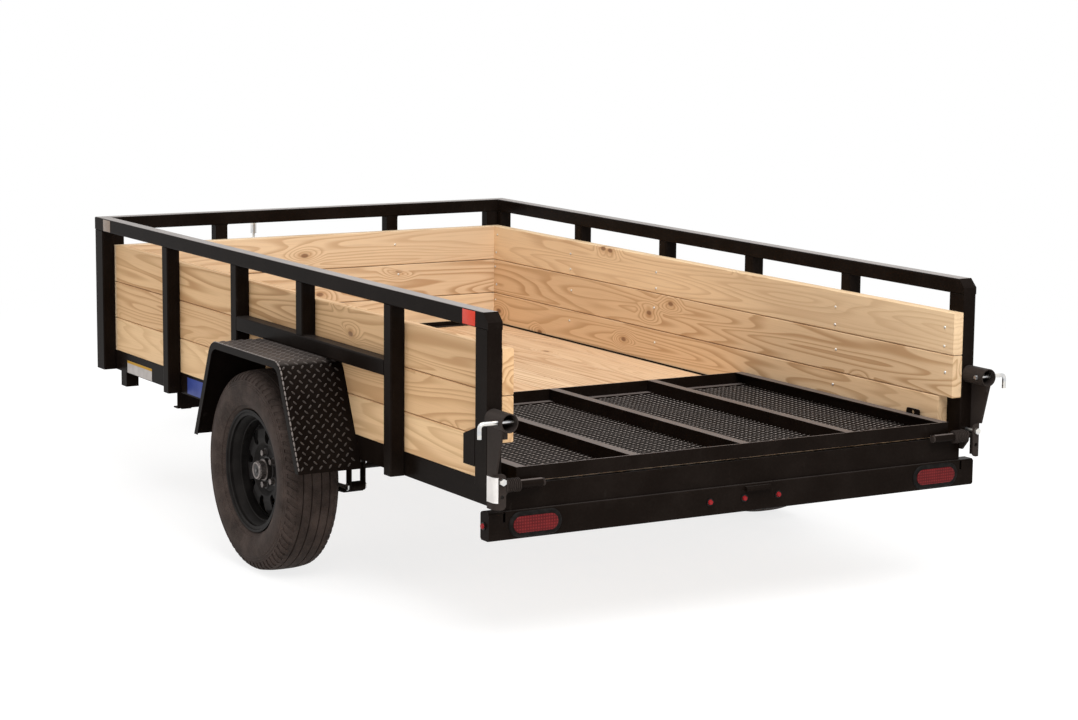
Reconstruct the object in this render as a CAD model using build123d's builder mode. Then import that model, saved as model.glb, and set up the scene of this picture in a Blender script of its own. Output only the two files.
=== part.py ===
"""Single-axle utility trailer: an open steel-tube bed with board walls, a fold-in ramp gate,
a leaf-sprung axle and an A-frame tongue that stands on its jack.

Millimetres. +X is the trailer's right, +Y its direction of travel, +Z up. The origin is on the
ground, at the middle of the overall length and width.
"""
import os
from math import asin, atan2, cos, sin, sqrt

from build123d import *

os.makedirs("parts", exist_ok=True)

# ---------------------------------------------------------------- driving dimensions
# bed
bed_length = 3124.0          # rear face of the rear posts to the front face of the front posts
bed_width = 1842.0           # over the outer faces of the side posts
frame_bottom = 432.0         # underside of the floor frame above the ground
frame_depth = 76.2           # height of the frame angles
frame_leg = 50.8             # flat leg of the frame angles
frame_wall = 4.8
root_radius = 4.0            # inside corner of every rolled angle and channel
top_rail_top = 1029.0        # top of the tube rail above the ground
tube = 50.8                  # square tube of the posts and the top rail
tube_wall = 3.2
tube_corner = 5.0            # outside corner radius of the tubes
end_post_depth = 76.2        # the corner posts are deeper along the bed
rail_end_slope = 28.0        # slope that closes the rear ends of the top rail
brace_top = 800.0            # top of the tube that carries the fender
crossmember_count = 4
crossmember_wall = 3.2

# wood
board_thick = 38.1
board_gap = 2.5
board_ease = 2.5             # eased long edges
plank_ease = 1.5
board_heights = (128.0, 139.7, 139.7)     # lowest first; the lowest is ripped narrower
low_board_cutback = 70.0     # the lowest side board stops short of the rear post
plank_width = 139.7
plank_count = 12
plank_side_gap = 1.0

# running gear
tyre_radius = 340.0
tyre_width = 203.0
wheel_y_on_bed = 1336.0      # axle centre ahead of the bed's rear face
tyre_to_rail = 22.0          # from the side rail to the tyre
rim_radius = 207.0           # rim flange
rim_width = 152.0
axle_radius = 30.0
spring_half_span = 332.0     # eye to axle
spring_width = 44.5
spring_camber = 14.0         # how far the middle of the main leaf lies below its eyes
leaf_thick = 7.0
leaf_steps = (0.0, 45.0, 125.0, 205.0)    # how much shorter each half leaf is than the main one

# fender
fender_cover = 4.0           # fender's outer face outside the tyre
fender_foot = 402.0          # height of the fender's lower ends
fender_top_half = 273.0      # half of the top, to where the lines of top and leg cross
fender_foot_half = 420.0     # half of the spread at the feet
fender_thick = 3.0
fender_lip = 24.0
fender_bend = 65.0

# rear bumper
bumper_height = 87.0
bumper_depth = 50.8
bumper_overhang = 12.7       # its rear face behind the bed's rear face
bumper_corner = 6.0
bumper_wall = 4.8
lamp_length = 184.0          # over the rubber grommet
lamp_height = 79.0
lamp_inset = 160.0           # lamp centre in from the end of the bumper
lamp_rise = 44.0             # lamp centre above the bumper's underside

# gate
gate_length = 1180.0
gate_side_gap = 12.0         # to the side boards
gate_depth = 44.5
gate_leg = 34.0
gate_wall = 4.8
gate_clear = 5.6             # under the folded gate
gate_bays = 4
mesh_thick = 2.4
hinge_back = 22.0            # hinge line behind the bed's rear face
hinge_pin_radius = 8.0
sleeve_radius = 13.3
sleeve_length = 77.0
coil_radius = 21.6
coil_wire = 6.4
coil_turns = 7
lug_run = 202.0              # latch hole ahead of the hinge line, when the gate is folded
lug_rise = 52.0              # and above it

# latch behind each rear post
pipe_radius = 29.0
pipe_wall = 3.5
pipe_length = 100.0
pipe_offset = 6.0            # pipe's centre outside the post's centre
pin_radius = 6.8
pin_hook = 44.0

# tongue
tongue_length = 1219.0       # front of the bed to the nose of the coupler
tongue_run_under = 684.0     # tongue reaches this far back under the bed
tongue_depth = 76.2
tongue_flange = 38.1
tongue_wall = 4.8
coupler_length = 250.0
coupler_wall = 5.0
ball_socket_radius = 26.0
jack_back = 420.0            # jack's centre behind the nose of the coupler
jack_radius = 28.5
jack_wall = 4.7
jack_rise = 330.0            # top of the jack's tube above the tongue
jack_travel = 250.0
foot_radius = 70.0

# fits
running_clearance = 0.3

# ---------------------------------------------------------------- derived places
rear_reach = pipe_length
overall_length = rear_reach + bed_length + tongue_length
bed_rear = -overall_length / 2 + rear_reach
bed_front = bed_rear + bed_length
coupler_nose = bed_front + tongue_length
post_x = bed_width / 2                    # outer face of the side posts
post_mid_x = post_x - tube / 2
rail_x = post_x - tube                    # outer face of the floor frame and of the boards
board_x = rail_x - board_thick            # inner face of the side boards
frame_front = bed_front - tube            # front face of the floor frame
frame_top = frame_bottom + frame_depth
floor_top = frame_top
rail_bottom = top_rail_top - tube
fender_top = brace_top - tube
wheel_y = bed_rear + wheel_y_on_bed
wheel_z = tyre_radius
half_track = rail_x + tyre_to_rail + tyre_width / 2

SIDES = (("left", -1), ("right", 1))


def save(part, name):
    """Label a finished piece and write it as its own STEP file."""
    part.label = name
    export_step(part, f"parts/{name}.step")


def block(x0, x1, y0, y1, z0, z1, mode=Mode.ADD):
    """An upright block between two corners, for use inside a part block."""
    with Locations(((x0 + x1) / 2, (y0 + y1) / 2, (z0 + z1) / 2)):
        Box(abs(x1 - x0), abs(y1 - y0), abs(z1 - z0), mode=mode)


def hollow_tube(plane, width, depth, length, wall=tube_wall, corner=tube_corner):
    """A rounded box tube along the plane's normal, for use inside a part block."""
    with BuildSketch(plane) as section:
        RectangleRounded(width, depth, corner)
        RectangleRounded(width - 2 * wall, depth - 2 * wall, max(corner - wall, wall / 4),
                         mode=Mode.SUBTRACT)
    extrude(section.sketch, amount=length)


def round_bar(start, direction, radius, length, mode=Mode.ADD):
    """A round bar from a start point, for use inside a part block."""
    with BuildSketch(Plane(start, z_dir=direction)) as section:
        Circle(radius)
    extrude(section.sketch, amount=length, mode=mode)


def hex_head(start, direction, across, length):
    """A hexagon bolt head or nut, for use inside a part block."""
    with BuildSketch(Plane(start, z_dir=direction)) as section:
        RegularPolygon(across / 2, 6, major_radius=False)
    extrude(section.sketch, amount=length)


# ================================================================= floor frame
# side rails: upright leg outside, flat leg inward, notched at both ends for the cross rails
for side_name, side in SIDES:
    with BuildPart() as side_rail:
        block(side * rail_x, side * (rail_x - frame_wall), bed_rear, frame_front, frame_bottom, frame_top)
        block(side * (rail_x - frame_wall), side * (rail_x - frame_leg), bed_rear + frame_leg,
              frame_front - frame_leg, frame_bottom, frame_bottom + frame_wall)
        fillet(side_rail.edges().filter_by(Axis.Y).sort_by_distance(
            (side * (rail_x - frame_wall), wheel_y, frame_bottom + frame_wall))[0], root_radius)
    save(side_rail.part, f"side_rail_{side_name}")


def cross_rail(y_face, inward):
    """Angle across one end of the floor frame, between the side rails."""
    half = rail_x - frame_wall
    with BuildPart() as rail:
        block(-half, half, y_face, y_face + inward * frame_wall, frame_bottom, frame_top)
        block(-half, half, y_face + inward * frame_wall, y_face + inward * frame_leg,
              frame_bottom, frame_bottom + frame_wall)
        fillet(rail.edges().filter_by(Axis.X).sort_by_distance(
            (0, y_face + inward * frame_wall, frame_bottom + frame_wall))[0], root_radius)
    return rail.part


save(cross_rail(frame_front, -1), "front_frame_rail")
save(cross_rail(bed_rear, 1), "rear_sill")

# crossmembers: angles that rest on the flat legs and carry the planks
crossmember_half = rail_x - frame_wall - root_radius
crossmember_bottom = frame_bottom + frame_wall
crossmember_top = floor_top - board_thick
crossmember_pitch = (frame_front - bed_rear) / (crossmember_count + 1)
with BuildPart() as crossmembers:
    for k in range(crossmember_count):
        y = bed_rear + crossmember_pitch * (k + 1)
        block(-crossmember_half, crossmember_half, y, y + tube, crossmember_top - crossmember_wall,
              crossmember_top)
        block(-crossmember_half, crossmember_half, y, y + crossmember_wall, crossmember_bottom,
              crossmember_top - crossmember_wall)
save(crossmembers.part, "crossmembers")

# planks along the bed, between the side rails
plank_field = 2 * (rail_x - frame_wall - plank_side_gap)
plank_pitch = (plank_field - plank_width) / (plank_count - 1)
with BuildPart() as floor_planks:
    for k in range(plank_count):
        x = -plank_field / 2 + plank_pitch * k
        block(x, x + plank_width, bed_rear + frame_wall, frame_front - frame_wall,
              floor_top - board_thick, floor_top)
    chamfer(floor_planks.edges().filter_by(Axis.Y).group_by(Axis.Z)[-1], plank_ease)
save(floor_planks.part, "floor_planks")

# ================================================================= side frames
post_bottom = frame_bottom
fender_rear_gap = 249.0      # from the fender's rear foot to the post behind it
# each side's posts by the wheel: gap ahead of the fender's front foot, and how far behind the axle
# the short post stands that rises from the brace
posts_by_wheel = {"left": (32.0, 54.0), "right": (19.0, 110.0)}
rear_row = wheel_y - fender_foot_half - fender_rear_gap - tube / 2
corner_row = bed_front - end_post_depth / 2

for side_name, side in SIDES:
    front_gap, short_back = posts_by_wheel[side_name]
    front_row = wheel_y + fender_foot_half + front_gap + tube / 2
    last_row = (front_row + corner_row) / 2 - end_post_depth / 4
    # y of the centre, depth along the bed, height of the foot
    rows = ((rear_row, tube, post_bottom), (wheel_y - short_back, tube, brace_top),
            (front_row, tube, post_bottom), (last_row, tube, post_bottom),
            (corner_row, end_post_depth, post_bottom))
    with BuildPart() as side_posts:
        for y, depth, foot in rows:
            hollow_tube(Plane((side * post_mid_x, y, foot)), tube, depth, rail_bottom - foot)
    save(side_posts.part, f"side_posts_{side_name}")

    # the brace carries the fender between the posts behind and ahead of the wheel
    brace_rear = rear_row + tube / 2
    with BuildPart() as fender_brace:
        hollow_tube(Plane((side * post_mid_x, brace_rear, brace_top - tube / 2), z_dir=(0, 1, 0)),
                    tube, tube, front_row - tube / 2 - brace_rear)
    save(fender_brace.part, f"fender_brace_{side_name}")

front_inner_posts = (-402.0, 367.0)
front_post_xs = (tube - post_mid_x, *front_inner_posts, post_mid_x - tube)
with BuildPart() as front_posts:
    for x in front_post_xs:
        hollow_tube(Plane((x, bed_front - tube / 2, post_bottom)), tube, tube, rail_bottom - post_bottom)
save(front_posts.part, "front_posts")

# rear posts stand on outrigger feet that are welded to the side rails, with a gusset ahead of each
foot_plate = 6.4
gusset_run = 69.0
gusset_bottom = 559.0
gusset_top_front = 650.0
gusset_top_rear = 676.0
for side_name, side in SIDES:
    post_mid_y = bed_rear + end_post_depth / 2
    post_front = bed_rear + end_post_depth
    with BuildPart() as rear_post:
        block(side * rail_x, side * post_x, bed_rear, post_front, frame_top - foot_plate, frame_top)
        hollow_tube(Plane((side * post_mid_x, post_mid_y, frame_top)), tube, end_post_depth,
                    rail_bottom - frame_top)
        with BuildSketch(Plane.YZ.offset(side * post_mid_x - tube / 2)):
            with BuildLine():
                Polyline((post_front, gusset_bottom), (post_front + gusset_run, gusset_bottom),
                         (post_front + gusset_run, gusset_top_front), (post_front, gusset_top_rear),
                         close=True)
            make_face()
        extrude(amount=tube)
        block(side * rail_x, side * (post_x - tube_wall), post_front, post_front + gusset_run - tube_wall,
              gusset_bottom, gusset_top_front - tube_wall, mode=Mode.SUBTRACT)
    save(rear_post.part, f"rear_post_{side_name}")

# top rail: a U of tube with mitred front corners and sloped, closed rear ends
rail_z = top_rail_top - tube / 2
with BuildPart() as top_rail:
    with BuildLine() as rail_path:
        Polyline((-post_mid_x, bed_rear + tube_wall, rail_z), (-post_mid_x, bed_front - tube / 2, rail_z),
                 (post_mid_x, bed_front - tube / 2, rail_z), (post_mid_x, bed_rear + tube_wall, rail_z))
    with BuildSketch(Plane((-post_mid_x, bed_rear + tube_wall, rail_z), z_dir=(0, 1, 0))):
        RectangleRounded(tube, tube, tube_corner)
        RectangleRounded(tube - 2 * tube_wall, tube - 2 * tube_wall, tube_corner - tube_wall,
                         mode=Mode.SUBTRACT)
    sweep(transition=Transition.RIGHT)
    slope_foot = top_rail_top - rail_end_slope
    cap_inner = tube_wall * (sqrt(2) - 1)
    for side in (-1, 1):
        tube_side = Plane.YZ.offset(side * post_mid_x - tube / 2)
        with BuildSketch(tube_side):
            with BuildLine():
                Polyline((bed_rear - tube, slope_foot), (bed_rear, slope_foot),
                         (bed_rear + rail_end_slope, top_rail_top),
                         (bed_rear + rail_end_slope, top_rail_top + tube),
                         (bed_rear - tube, top_rail_top + tube), close=True)
            make_face()
        extrude(amount=tube, mode=Mode.SUBTRACT)
        with BuildSketch(tube_side):
            with BuildLine():
                Polyline((bed_rear, rail_bottom), (bed_rear, slope_foot),
                         (bed_rear + rail_end_slope, top_rail_top),
                         (bed_rear + rail_end_slope + tube_wall + cap_inner, top_rail_top),
                         (bed_rear + tube_wall, slope_foot - cap_inner), (bed_rear + tube_wall, rail_bottom),
                         close=True)
            make_face()
        extrude(amount=tube)
save(top_rail.part, "top_rail")

# ================================================================= boards
board_levels = []
level = frame_top
for height in board_heights:
    board_levels.append((level, level + height))
    level += height + board_gap
front_board_y = frame_front - board_thick

for side_name, side in SIDES:
    with BuildPart() as side_boards:
        for k, (z0, z1) in enumerate(board_levels):
            rear = bed_rear + (low_board_cutback if k == 0 else 0)
            block(side * rail_x, side * board_x, rear, front_board_y, z0, z1)
        chamfer(side_boards.edges().filter_by(Axis.Y), board_ease)
    save(side_boards.part, f"side_boards_{side_name}")

with BuildPart() as front_boards:
    for z0, z1 in board_levels:
        block(-rail_x, rail_x, front_board_y, frame_front, z0, z1)
    chamfer(front_boards.edges().filter_by(Axis.X), board_ease)
save(front_boards.part, "front_boards")

# ================================================================= fenders
fender_slope = atan2(fender_foot_half - fender_top_half, fender_top - fender_foot)
fender_outer_x = half_track + tyre_width / 2 + fender_cover
fender_inner_x = rail_x + running_clearance


def under_fender(inset):
    """The area under the fender's sheet, a half hexagon with rounded bends; inset is measured
    square to the sheet, towards the wheel."""
    top = fender_top - inset
    top_half = fender_top_half + inset * (sin(fender_slope) - 1) / cos(fender_slope)
    foot_half = fender_foot_half - inset / cos(fender_slope)
    with BuildSketch(Plane.YZ) as area:
        with BuildLine():
            FilletPolyline((wheel_y - foot_half, fender_foot), (wheel_y - top_half, top),
                           (wheel_y + top_half, top), (wheel_y + foot_half, fender_foot),
                           radius=fender_bend - inset)
            Line((wheel_y + foot_half, fender_foot), (wheel_y - foot_half, fender_foot))
        make_face()
    return area.sketch


for side_name, side in SIDES:
    sheet = under_fender(0) - under_fender(fender_thick)
    lip = under_fender(0) - under_fender(fender_lip)
    with BuildPart() as fender:
        extrude(Pos(X=side * fender_inner_x) * sheet, amount=fender_outer_x - fender_inner_x,
                dir=(side, 0, 0))
        extrude(Pos(X=side * fender_outer_x) * lip, amount=fender_thick, dir=(-side, 0, 0))
    save(fender.part, f"fender_{side_name}")

# ================================================================= rear bumper and lamps
bumper_top = frame_bottom
bumper_bottom = bumper_top - bumper_height
bumper_rear = bed_rear - bumper_overhang
bumper_mid_y = bumper_rear + bumper_depth / 2
bumper_mid_z = (bumper_top + bumper_bottom) / 2
lamp_x = post_x - lamp_inset
lamp_z = bumper_bottom + lamp_rise
lamp_lip = 7.0               # how far the grommet laps over the bumper's face, and its lens
lamp_proud = 5.0
lens_proud = 3.0
lamp_depth = 30.0
slot_x = post_x - 53.0
slot_half = 4.0
slot_drop = 33.0
marker_radius = 9.5
marker_collar = 3.0
marker_proud = 9.0
marker_pitch = 130.0
end_marker_y = bumper_rear + bumper_depth * 0.6
marker_places = [((marker_pitch * k, bumper_rear, lamp_z), (0, -1, 0)) for k in (-1, 0, 1)]
marker_places += [((side * post_x, end_marker_y, lamp_z), (side, 0, 0)) for side in (-1, 1)]

with BuildPart() as bumper:
    hollow_tube(Plane((-post_x + bumper_wall, bumper_mid_y, bumper_mid_z), x_dir=(0, 1, 0), z_dir=(1, 0, 0)),
                bumper_depth, bumper_height, 2 * (post_x - bumper_wall), bumper_wall, bumper_corner)
    for side in (-1, 1):
        end_plane = Plane((side * post_x, bumper_mid_y, bumper_mid_z), x_dir=(0, side, 0), z_dir=(side, 0, 0))
        with BuildSketch(end_plane) as end_plate:
            Rectangle(bumper_depth, bumper_height)
            chamfer(end_plate.vertices(), bumper_corner)
        extrude(amount=-bumper_wall)
        block(side * (slot_x - slot_half), side * (slot_x + slot_half), bumper_rear,
              bumper_rear + bumper_wall, bumper_top - slot_drop, bumper_top, mode=Mode.SUBTRACT)
    with BuildSketch(Plane.XZ.offset(-bumper_rear)):
        with Locations((-lamp_x, lamp_z), (lamp_x, lamp_z)):
            SlotOverall(lamp_length - 2 * lamp_lip, lamp_height - 2 * lamp_lip)
    extrude(amount=-bumper_wall, mode=Mode.SUBTRACT)
    for place, outward in marker_places:
        round_bar(place, [-c for c in outward], marker_radius, bumper_wall, mode=Mode.SUBTRACT)
save(bumper.part, "bumper")

with BuildPart() as lamp_grommets:
    lamp_face = Plane.XZ.offset(-bumper_rear)
    with BuildSketch(lamp_face):
        with Locations((lamp_x, lamp_z)):
            SlotOverall(lamp_length, lamp_height)
    extrude(amount=lamp_proud)
    chamfer(lamp_grommets.faces().sort_by(Axis.Y)[0].outer_wire().edges(), lamp_proud * 0.6)
    with BuildSketch(lamp_face):
        with Locations((lamp_x, lamp_z)):
            SlotOverall(lamp_length - 2 * lamp_lip, lamp_height - 2 * lamp_lip)
    extrude(amount=-lamp_depth)
    with BuildSketch(lamp_face.offset(lamp_proud)):
        with Locations((lamp_x, lamp_z)):
            SlotOverall(lamp_length - 4 * lamp_lip, lamp_height - 4 * lamp_lip)
    extrude(amount=-lamp_proud - lamp_depth, mode=Mode.SUBTRACT)
    mirror(about=Plane.YZ)
save(lamp_grommets.part, "lamp_grommets")

with BuildPart() as tail_lamps:
    with BuildSketch(Plane.XZ.offset(lamp_proud + lens_proud - bumper_rear)):
        with Locations((lamp_x, lamp_z)):
            SlotOverall(lamp_length - 4 * lamp_lip, lamp_height - 4 * lamp_lip)
    extrude(amount=-lamp_depth)
    fillet(tail_lamps.faces().sort_by(Axis.Y)[0].edges(), lens_proud)
    mirror(about=Plane.YZ)
save(tail_lamps.part, "tail_lamps")

# three marker lamps in the middle of the bumper and one on each end
with BuildPart() as marker_lamps:
    for place, outward in marker_places:
        back = [p - bumper_wall * c for p, c in zip(place, outward)]
        round_bar(back, outward, marker_radius, bumper_wall)
        round_bar(place, outward, marker_radius + marker_collar, marker_collar)
        with BuildSketch(Plane(place, z_dir=outward)) as dome:
            Circle(marker_radius)
        extrude(dome.sketch, amount=marker_proud, taper=18)
save(marker_lamps.part, "marker_lamps")

# front side markers: a bracket under each side rail, with a lamp and a bolt on its outer face
front_marker_back = 152.0    # bracket's centre behind the bed's front face
marker_bracket_half = 26.0
marker_bracket_drop = 57.0
marker_bracket_wall = 3.2
with BuildPart() as front_marker_boxes:
    y = bed_front - front_marker_back
    for side in (-1, 1):
        block(side * rail_x, side * (rail_x - marker_bracket_wall), y - marker_bracket_half,
              y + marker_bracket_half, frame_bottom - marker_bracket_drop, frame_bottom)
        block(side * (rail_x - marker_bracket_wall), side * (rail_x - frame_leg), y - marker_bracket_half,
              y - marker_bracket_half + marker_bracket_wall, frame_bottom - marker_bracket_drop, frame_bottom)
        block(side * (rail_x - marker_bracket_wall), side * (rail_x - frame_leg), y + marker_bracket_half,
              y + marker_bracket_half - marker_bracket_wall, frame_bottom - marker_bracket_drop, frame_bottom)
save(front_marker_boxes.part, "front_marker_boxes")

# licence plate lamp: a small hooded lamp on the bumper's rear face
licence_half = 47.0
licence_x = 50.0
licence_top = bumper_top - bumper_corner
licence_deep = 14.0
with BuildPart() as licence_bracket:
    with BuildSketch(Plane.YZ.offset(licence_x - licence_half)):
        with BuildLine():
            Polyline((bumper_rear, licence_top), (bumper_rear - licence_deep / 2, licence_top),
                     (bumper_rear - licence_deep, licence_top - licence_deep / 2),
                     (bumper_rear - licence_deep, licence_top - licence_deep),
                     (bumper_rear, licence_top - licence_deep), close=True)
        make_face()
    extrude(amount=2 * licence_half)
save(licence_bracket.part, "licence_bracket")

# ================================================================= gate
gate_half_width = board_x - gate_side_gap
hinge_y = bed_rear - hinge_back
hinge_z = floor_top + gate_clear
gate_bottom = hinge_z
gate_rear = bed_rear
gate_front = gate_rear + gate_length
gate_frame_z = gate_bottom + mesh_thick
gate_top = gate_frame_z + gate_depth
gate_bay = 2 * gate_half_width / gate_bays
lug_y = hinge_y + lug_run
lug_hole_z = hinge_z + lug_rise
lug_half = 34.0
lug_corner = 10.0
lug_hole_radius = pin_radius + 1.2
sleeve_outer = gate_half_width + 2.0
collar_length = 8.0
rib_xs = [-gate_half_width + gate_bay * (k + 1) for k in range(gate_bays - 1)]

with BuildPart() as gate_frame:
    # side members: upright leg outside, flat leg on top, inward
    for side in (-1, 1):
        x = side * gate_half_width
        block(x, x - side * gate_wall, gate_rear, gate_front, gate_frame_z, gate_top)
        block(x - side * gate_wall, x - side * gate_leg, gate_rear, gate_front, gate_top - gate_wall,
              gate_top)
    # rear and front members: upright leg outside, flat leg under, inward
    inner_half = gate_half_width - gate_wall
    for y, inward in ((gate_rear, 1), (gate_front, -1)):
        block(-inner_half, inner_half, y, y + inward * gate_wall, gate_frame_z, gate_top)
        block(-inner_half, inner_half, y + inward * gate_wall, y + inward * gate_leg, gate_frame_z,
              gate_frame_z + gate_wall)
    # ribs: upright leg with a flat leg on top, towards the right
    rib_rear = gate_rear + gate_wall
    rib_front = gate_front - gate_wall
    for x in rib_xs:
        block(x - gate_wall, x, rib_rear, rib_front, gate_frame_z, gate_top)
        block(x, x + gate_leg - gate_wall, rib_rear, rib_front, gate_top - gate_wall, gate_top)
    for side in (-1, 1):
        # upright lug that meets the latch pin when the gate stands
        with BuildSketch(Plane.YZ.offset(side * gate_half_width)) as lug:
            with BuildLine():
                Polyline((lug_y - lug_half, gate_top - gate_wall), (lug_y + lug_half, gate_top - gate_wall),
                         (lug_y + lug_half, lug_hole_z + 2 * pin_radius),
                         (lug_y - lug_half, lug_hole_z + 2 * pin_radius), close=True)
            make_face()
            fillet(lug.vertices().group_by(Axis.Y)[-1], lug_corner)
            with Locations((lug_y, lug_hole_z)):
                Circle(lug_hole_radius, mode=Mode.SUBTRACT)
        extrude(amount=-side * gate_wall)
        # hinge sleeve on a web behind the rear member
        with BuildSketch(Plane.YZ.offset(side * sleeve_outer)):
            with Locations((hinge_y, hinge_z)):
                Circle(sleeve_radius)
            with Locations(((hinge_y + gate_rear) / 2, gate_frame_z + gate_wall / 2)):
                Rectangle(hinge_back, gate_wall)
            with Locations((hinge_y, hinge_z)):
                Circle(hinge_pin_radius + running_clearance, mode=Mode.SUBTRACT)
        extrude(amount=-side * sleeve_length)
save(gate_frame.part, "gate_frame")

with BuildPart() as gate_mesh:
    block(-gate_half_width, gate_half_width, gate_rear, gate_front, gate_bottom, gate_frame_z)
save(gate_mesh.part, "gate_mesh")

# ================================================================= hinge and latch hardware
bracket_wall = 6.4
bracket_bottom = bumper_top + 15.0
bracket_top = frame_top + 48.0
bracket_reach = 52.0
bracket_lap = 36.0           # width of the bracket's rear leg
bracket_bend = 22.0
bracket_corner = 14.0
bracket_hole_radius = 6.5
bracket_bolt_z = floor_top + 24.0
bracket_hole_z = floor_top - 22.0
bracket_hole_x = post_x - 23.0
inner_lug_reach = hinge_back + sleeve_radius + 6.0
inner_lug_bottom = frame_top - 40.0
inner_lug_top = hinge_z + sleeve_radius + 6.0
inner_lug_corner = 8.0
collar_radius = 12.0
collar_gap = 1.0
bolt_radius = 6.0
bolt_across = 19.0
bolt_head = 9.0
with BuildPart() as hinge_brackets:
    # bent plate: side leg flush with the post, rear leg across behind it
    leg_rear = bed_rear - bracket_reach
    lap_x = post_x - bracket_lap
    with BuildSketch(Plane.XY.offset(bracket_bottom)):
        with BuildLine():
            outer_face = FilletPolyline((post_x, bed_rear), (post_x, leg_rear), (lap_x, leg_rear),
                                        radius=bracket_bend)
            inner_face = FilletPolyline((post_x - bracket_wall, bed_rear),
                                        (post_x - bracket_wall, leg_rear + bracket_wall),
                                        (lap_x, leg_rear + bracket_wall), radius=bracket_bend - bracket_wall)
            Line(outer_face @ 0, inner_face @ 0)
            Line(outer_face @ 1, inner_face @ 1)
        make_face()
    extrude(amount=bracket_top - bracket_bottom)
    fillet(hinge_brackets.edges().filter_by(Axis.Y).group_by(Axis.X)[0], bracket_corner)
    for z in (bracket_bolt_z, bracket_hole_z):
        round_bar((bracket_hole_x, leg_rear, z), (0, 1, 0), bracket_hole_radius, bracket_wall * 1.5,
                  mode=Mode.SUBTRACT)
    # inner lug that carries the pin, from the sill's end
    with BuildSketch(Plane.YZ.offset(rail_x)) as inner_lug:
        with BuildLine():
            Polyline((bed_rear, inner_lug_bottom), (bed_rear, inner_lug_top),
                     (bed_rear - inner_lug_reach, inner_lug_top),
                     (bed_rear - inner_lug_reach, hinge_z - sleeve_radius),
                     (bed_rear - sleeve_radius, inner_lug_bottom), close=True)
        make_face()
        fillet(inner_lug.vertices().group_by(Axis.X)[0], inner_lug_corner)
        with Locations((hinge_y, hinge_z)):
            Circle(hinge_pin_radius + running_clearance, mode=Mode.SUBTRACT)
    extrude(amount=bracket_wall)
    mirror(about=Plane.YZ)
save(hinge_brackets.part, "hinge_brackets")

with BuildPart() as bracket_bolts:
    head_face = leg_rear - bolt_head
    hex_head((bracket_hole_x, head_face, bracket_bolt_z), (0, 1, 0), bolt_across, bolt_head)
    round_bar((bracket_hole_x, leg_rear, bracket_bolt_z), (0, 1, 0), bolt_radius, bracket_reach)
    mirror(about=Plane.YZ)
save(bracket_bolts.part, "bracket_bolts")

pin_outer = post_x - bracket_wall - running_clearance
pin_inner_end = sleeve_outer - sleeve_length - collar_length
with BuildPart() as hinge_pins:
    round_bar((pin_inner_end, hinge_y, hinge_z), (1, 0, 0), hinge_pin_radius, pin_outer - pin_inner_end)
    round_bar((pin_inner_end, hinge_y, hinge_z), (1, 0, 0), collar_radius, collar_length - collar_gap)
    mirror(about=Plane.YZ)
save(hinge_pins.part, "hinge_pins")

# gate-assist torsion springs: a close coil around each pin, outside the sleeve
coil_gap = 2.0               # from the sleeve to the coil
coil_start = sleeve_outer + coil_gap
coil_pitch = coil_wire * 1.02
coil_bush = coil_radius - coil_wire * 0.8
with BuildPart() as assist_springs:
    with BuildSketch(Plane.XZ.offset(-hinge_y)):
        with BuildLine():
            crests = []
            for k in range(coil_turns):
                x = coil_start + coil_pitch * k
                crests += [(x, hinge_z + coil_bush), (x + coil_pitch * 0.3, hinge_z + coil_radius),
                           (x + coil_pitch * 0.7, hinge_z + coil_radius)]
            coil_end = coil_start + coil_pitch * coil_turns
            bush_bore = hinge_z + hinge_pin_radius + running_clearance
            Polyline(*crests, (coil_end, hinge_z + coil_bush), (coil_end, bush_bore), (coil_start, bush_bore),
                     close=True)
        make_face()
    revolve(axis=Axis((0, hinge_y, hinge_z), (1, 0, 0)))
    mirror(about=Plane.YZ)
save(assist_springs.part, "assist_springs")

# latch: a short pipe behind each rear post over a tapered arm, crossed by an L pin
pipe_x = post_mid_x + pipe_offset
pin_z = hinge_z + lug_run
pin_y = hinge_y - lug_rise
arm_wall = bracket_wall
arm_reach = 88.0
stop_drop = 20.0
with BuildPart() as latch_arms:
    round_bar((pipe_x, bed_rear, pin_z), (0, -1, 0), pipe_radius, pipe_length)
    with BuildSketch(Plane.YZ.offset(post_x)):
        with BuildLine():
            Polyline((bed_rear, bracket_top), (bed_rear - bracket_reach, bracket_top),
                     (bed_rear - arm_reach, pin_z - pipe_radius), (bed_rear - arm_reach, pin_z),
                     (bed_rear, pin_z), close=True)
        make_face()
    extrude(amount=-arm_wall)
    # stop tab under the pipe
    block(post_x - arm_wall, post_x - 3 * arm_wall, bed_rear - arm_reach, bed_rear - arm_reach + 2 * arm_wall,
          pin_z - pipe_radius - stop_drop, pin_z)
    round_bar((pipe_x, bed_rear, pin_z), (0, -1, 0), pipe_radius - pipe_wall, pipe_length,
              mode=Mode.SUBTRACT)
    round_bar((pipe_x - 2 * pipe_radius, pin_y, pin_z), (1, 0, 0), pin_radius + running_clearance,
              4 * pipe_radius, mode=Mode.SUBTRACT)
    mirror(about=Plane.YZ)
save(latch_arms.part, "latch_arms")

pin_inner = pipe_x - pipe_radius - 8.0
pin_bend_x = post_x + 68.0
pin_bend = 13.0
with BuildPart() as latch_pins:
    with BuildLine():
        FilletPolyline((pin_inner, pin_y, pin_z), (pin_bend_x, pin_y, pin_z),
                       (pin_bend_x, pin_y, pin_z - pin_hook), radius=pin_bend)
    with BuildSketch(Plane((pin_inner, pin_y, pin_z), z_dir=(1, 0, 0))):
        Circle(pin_radius)
    sweep()
    mirror(about=Plane.YZ)
save(latch_pins.part, "latch_pins")

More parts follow.
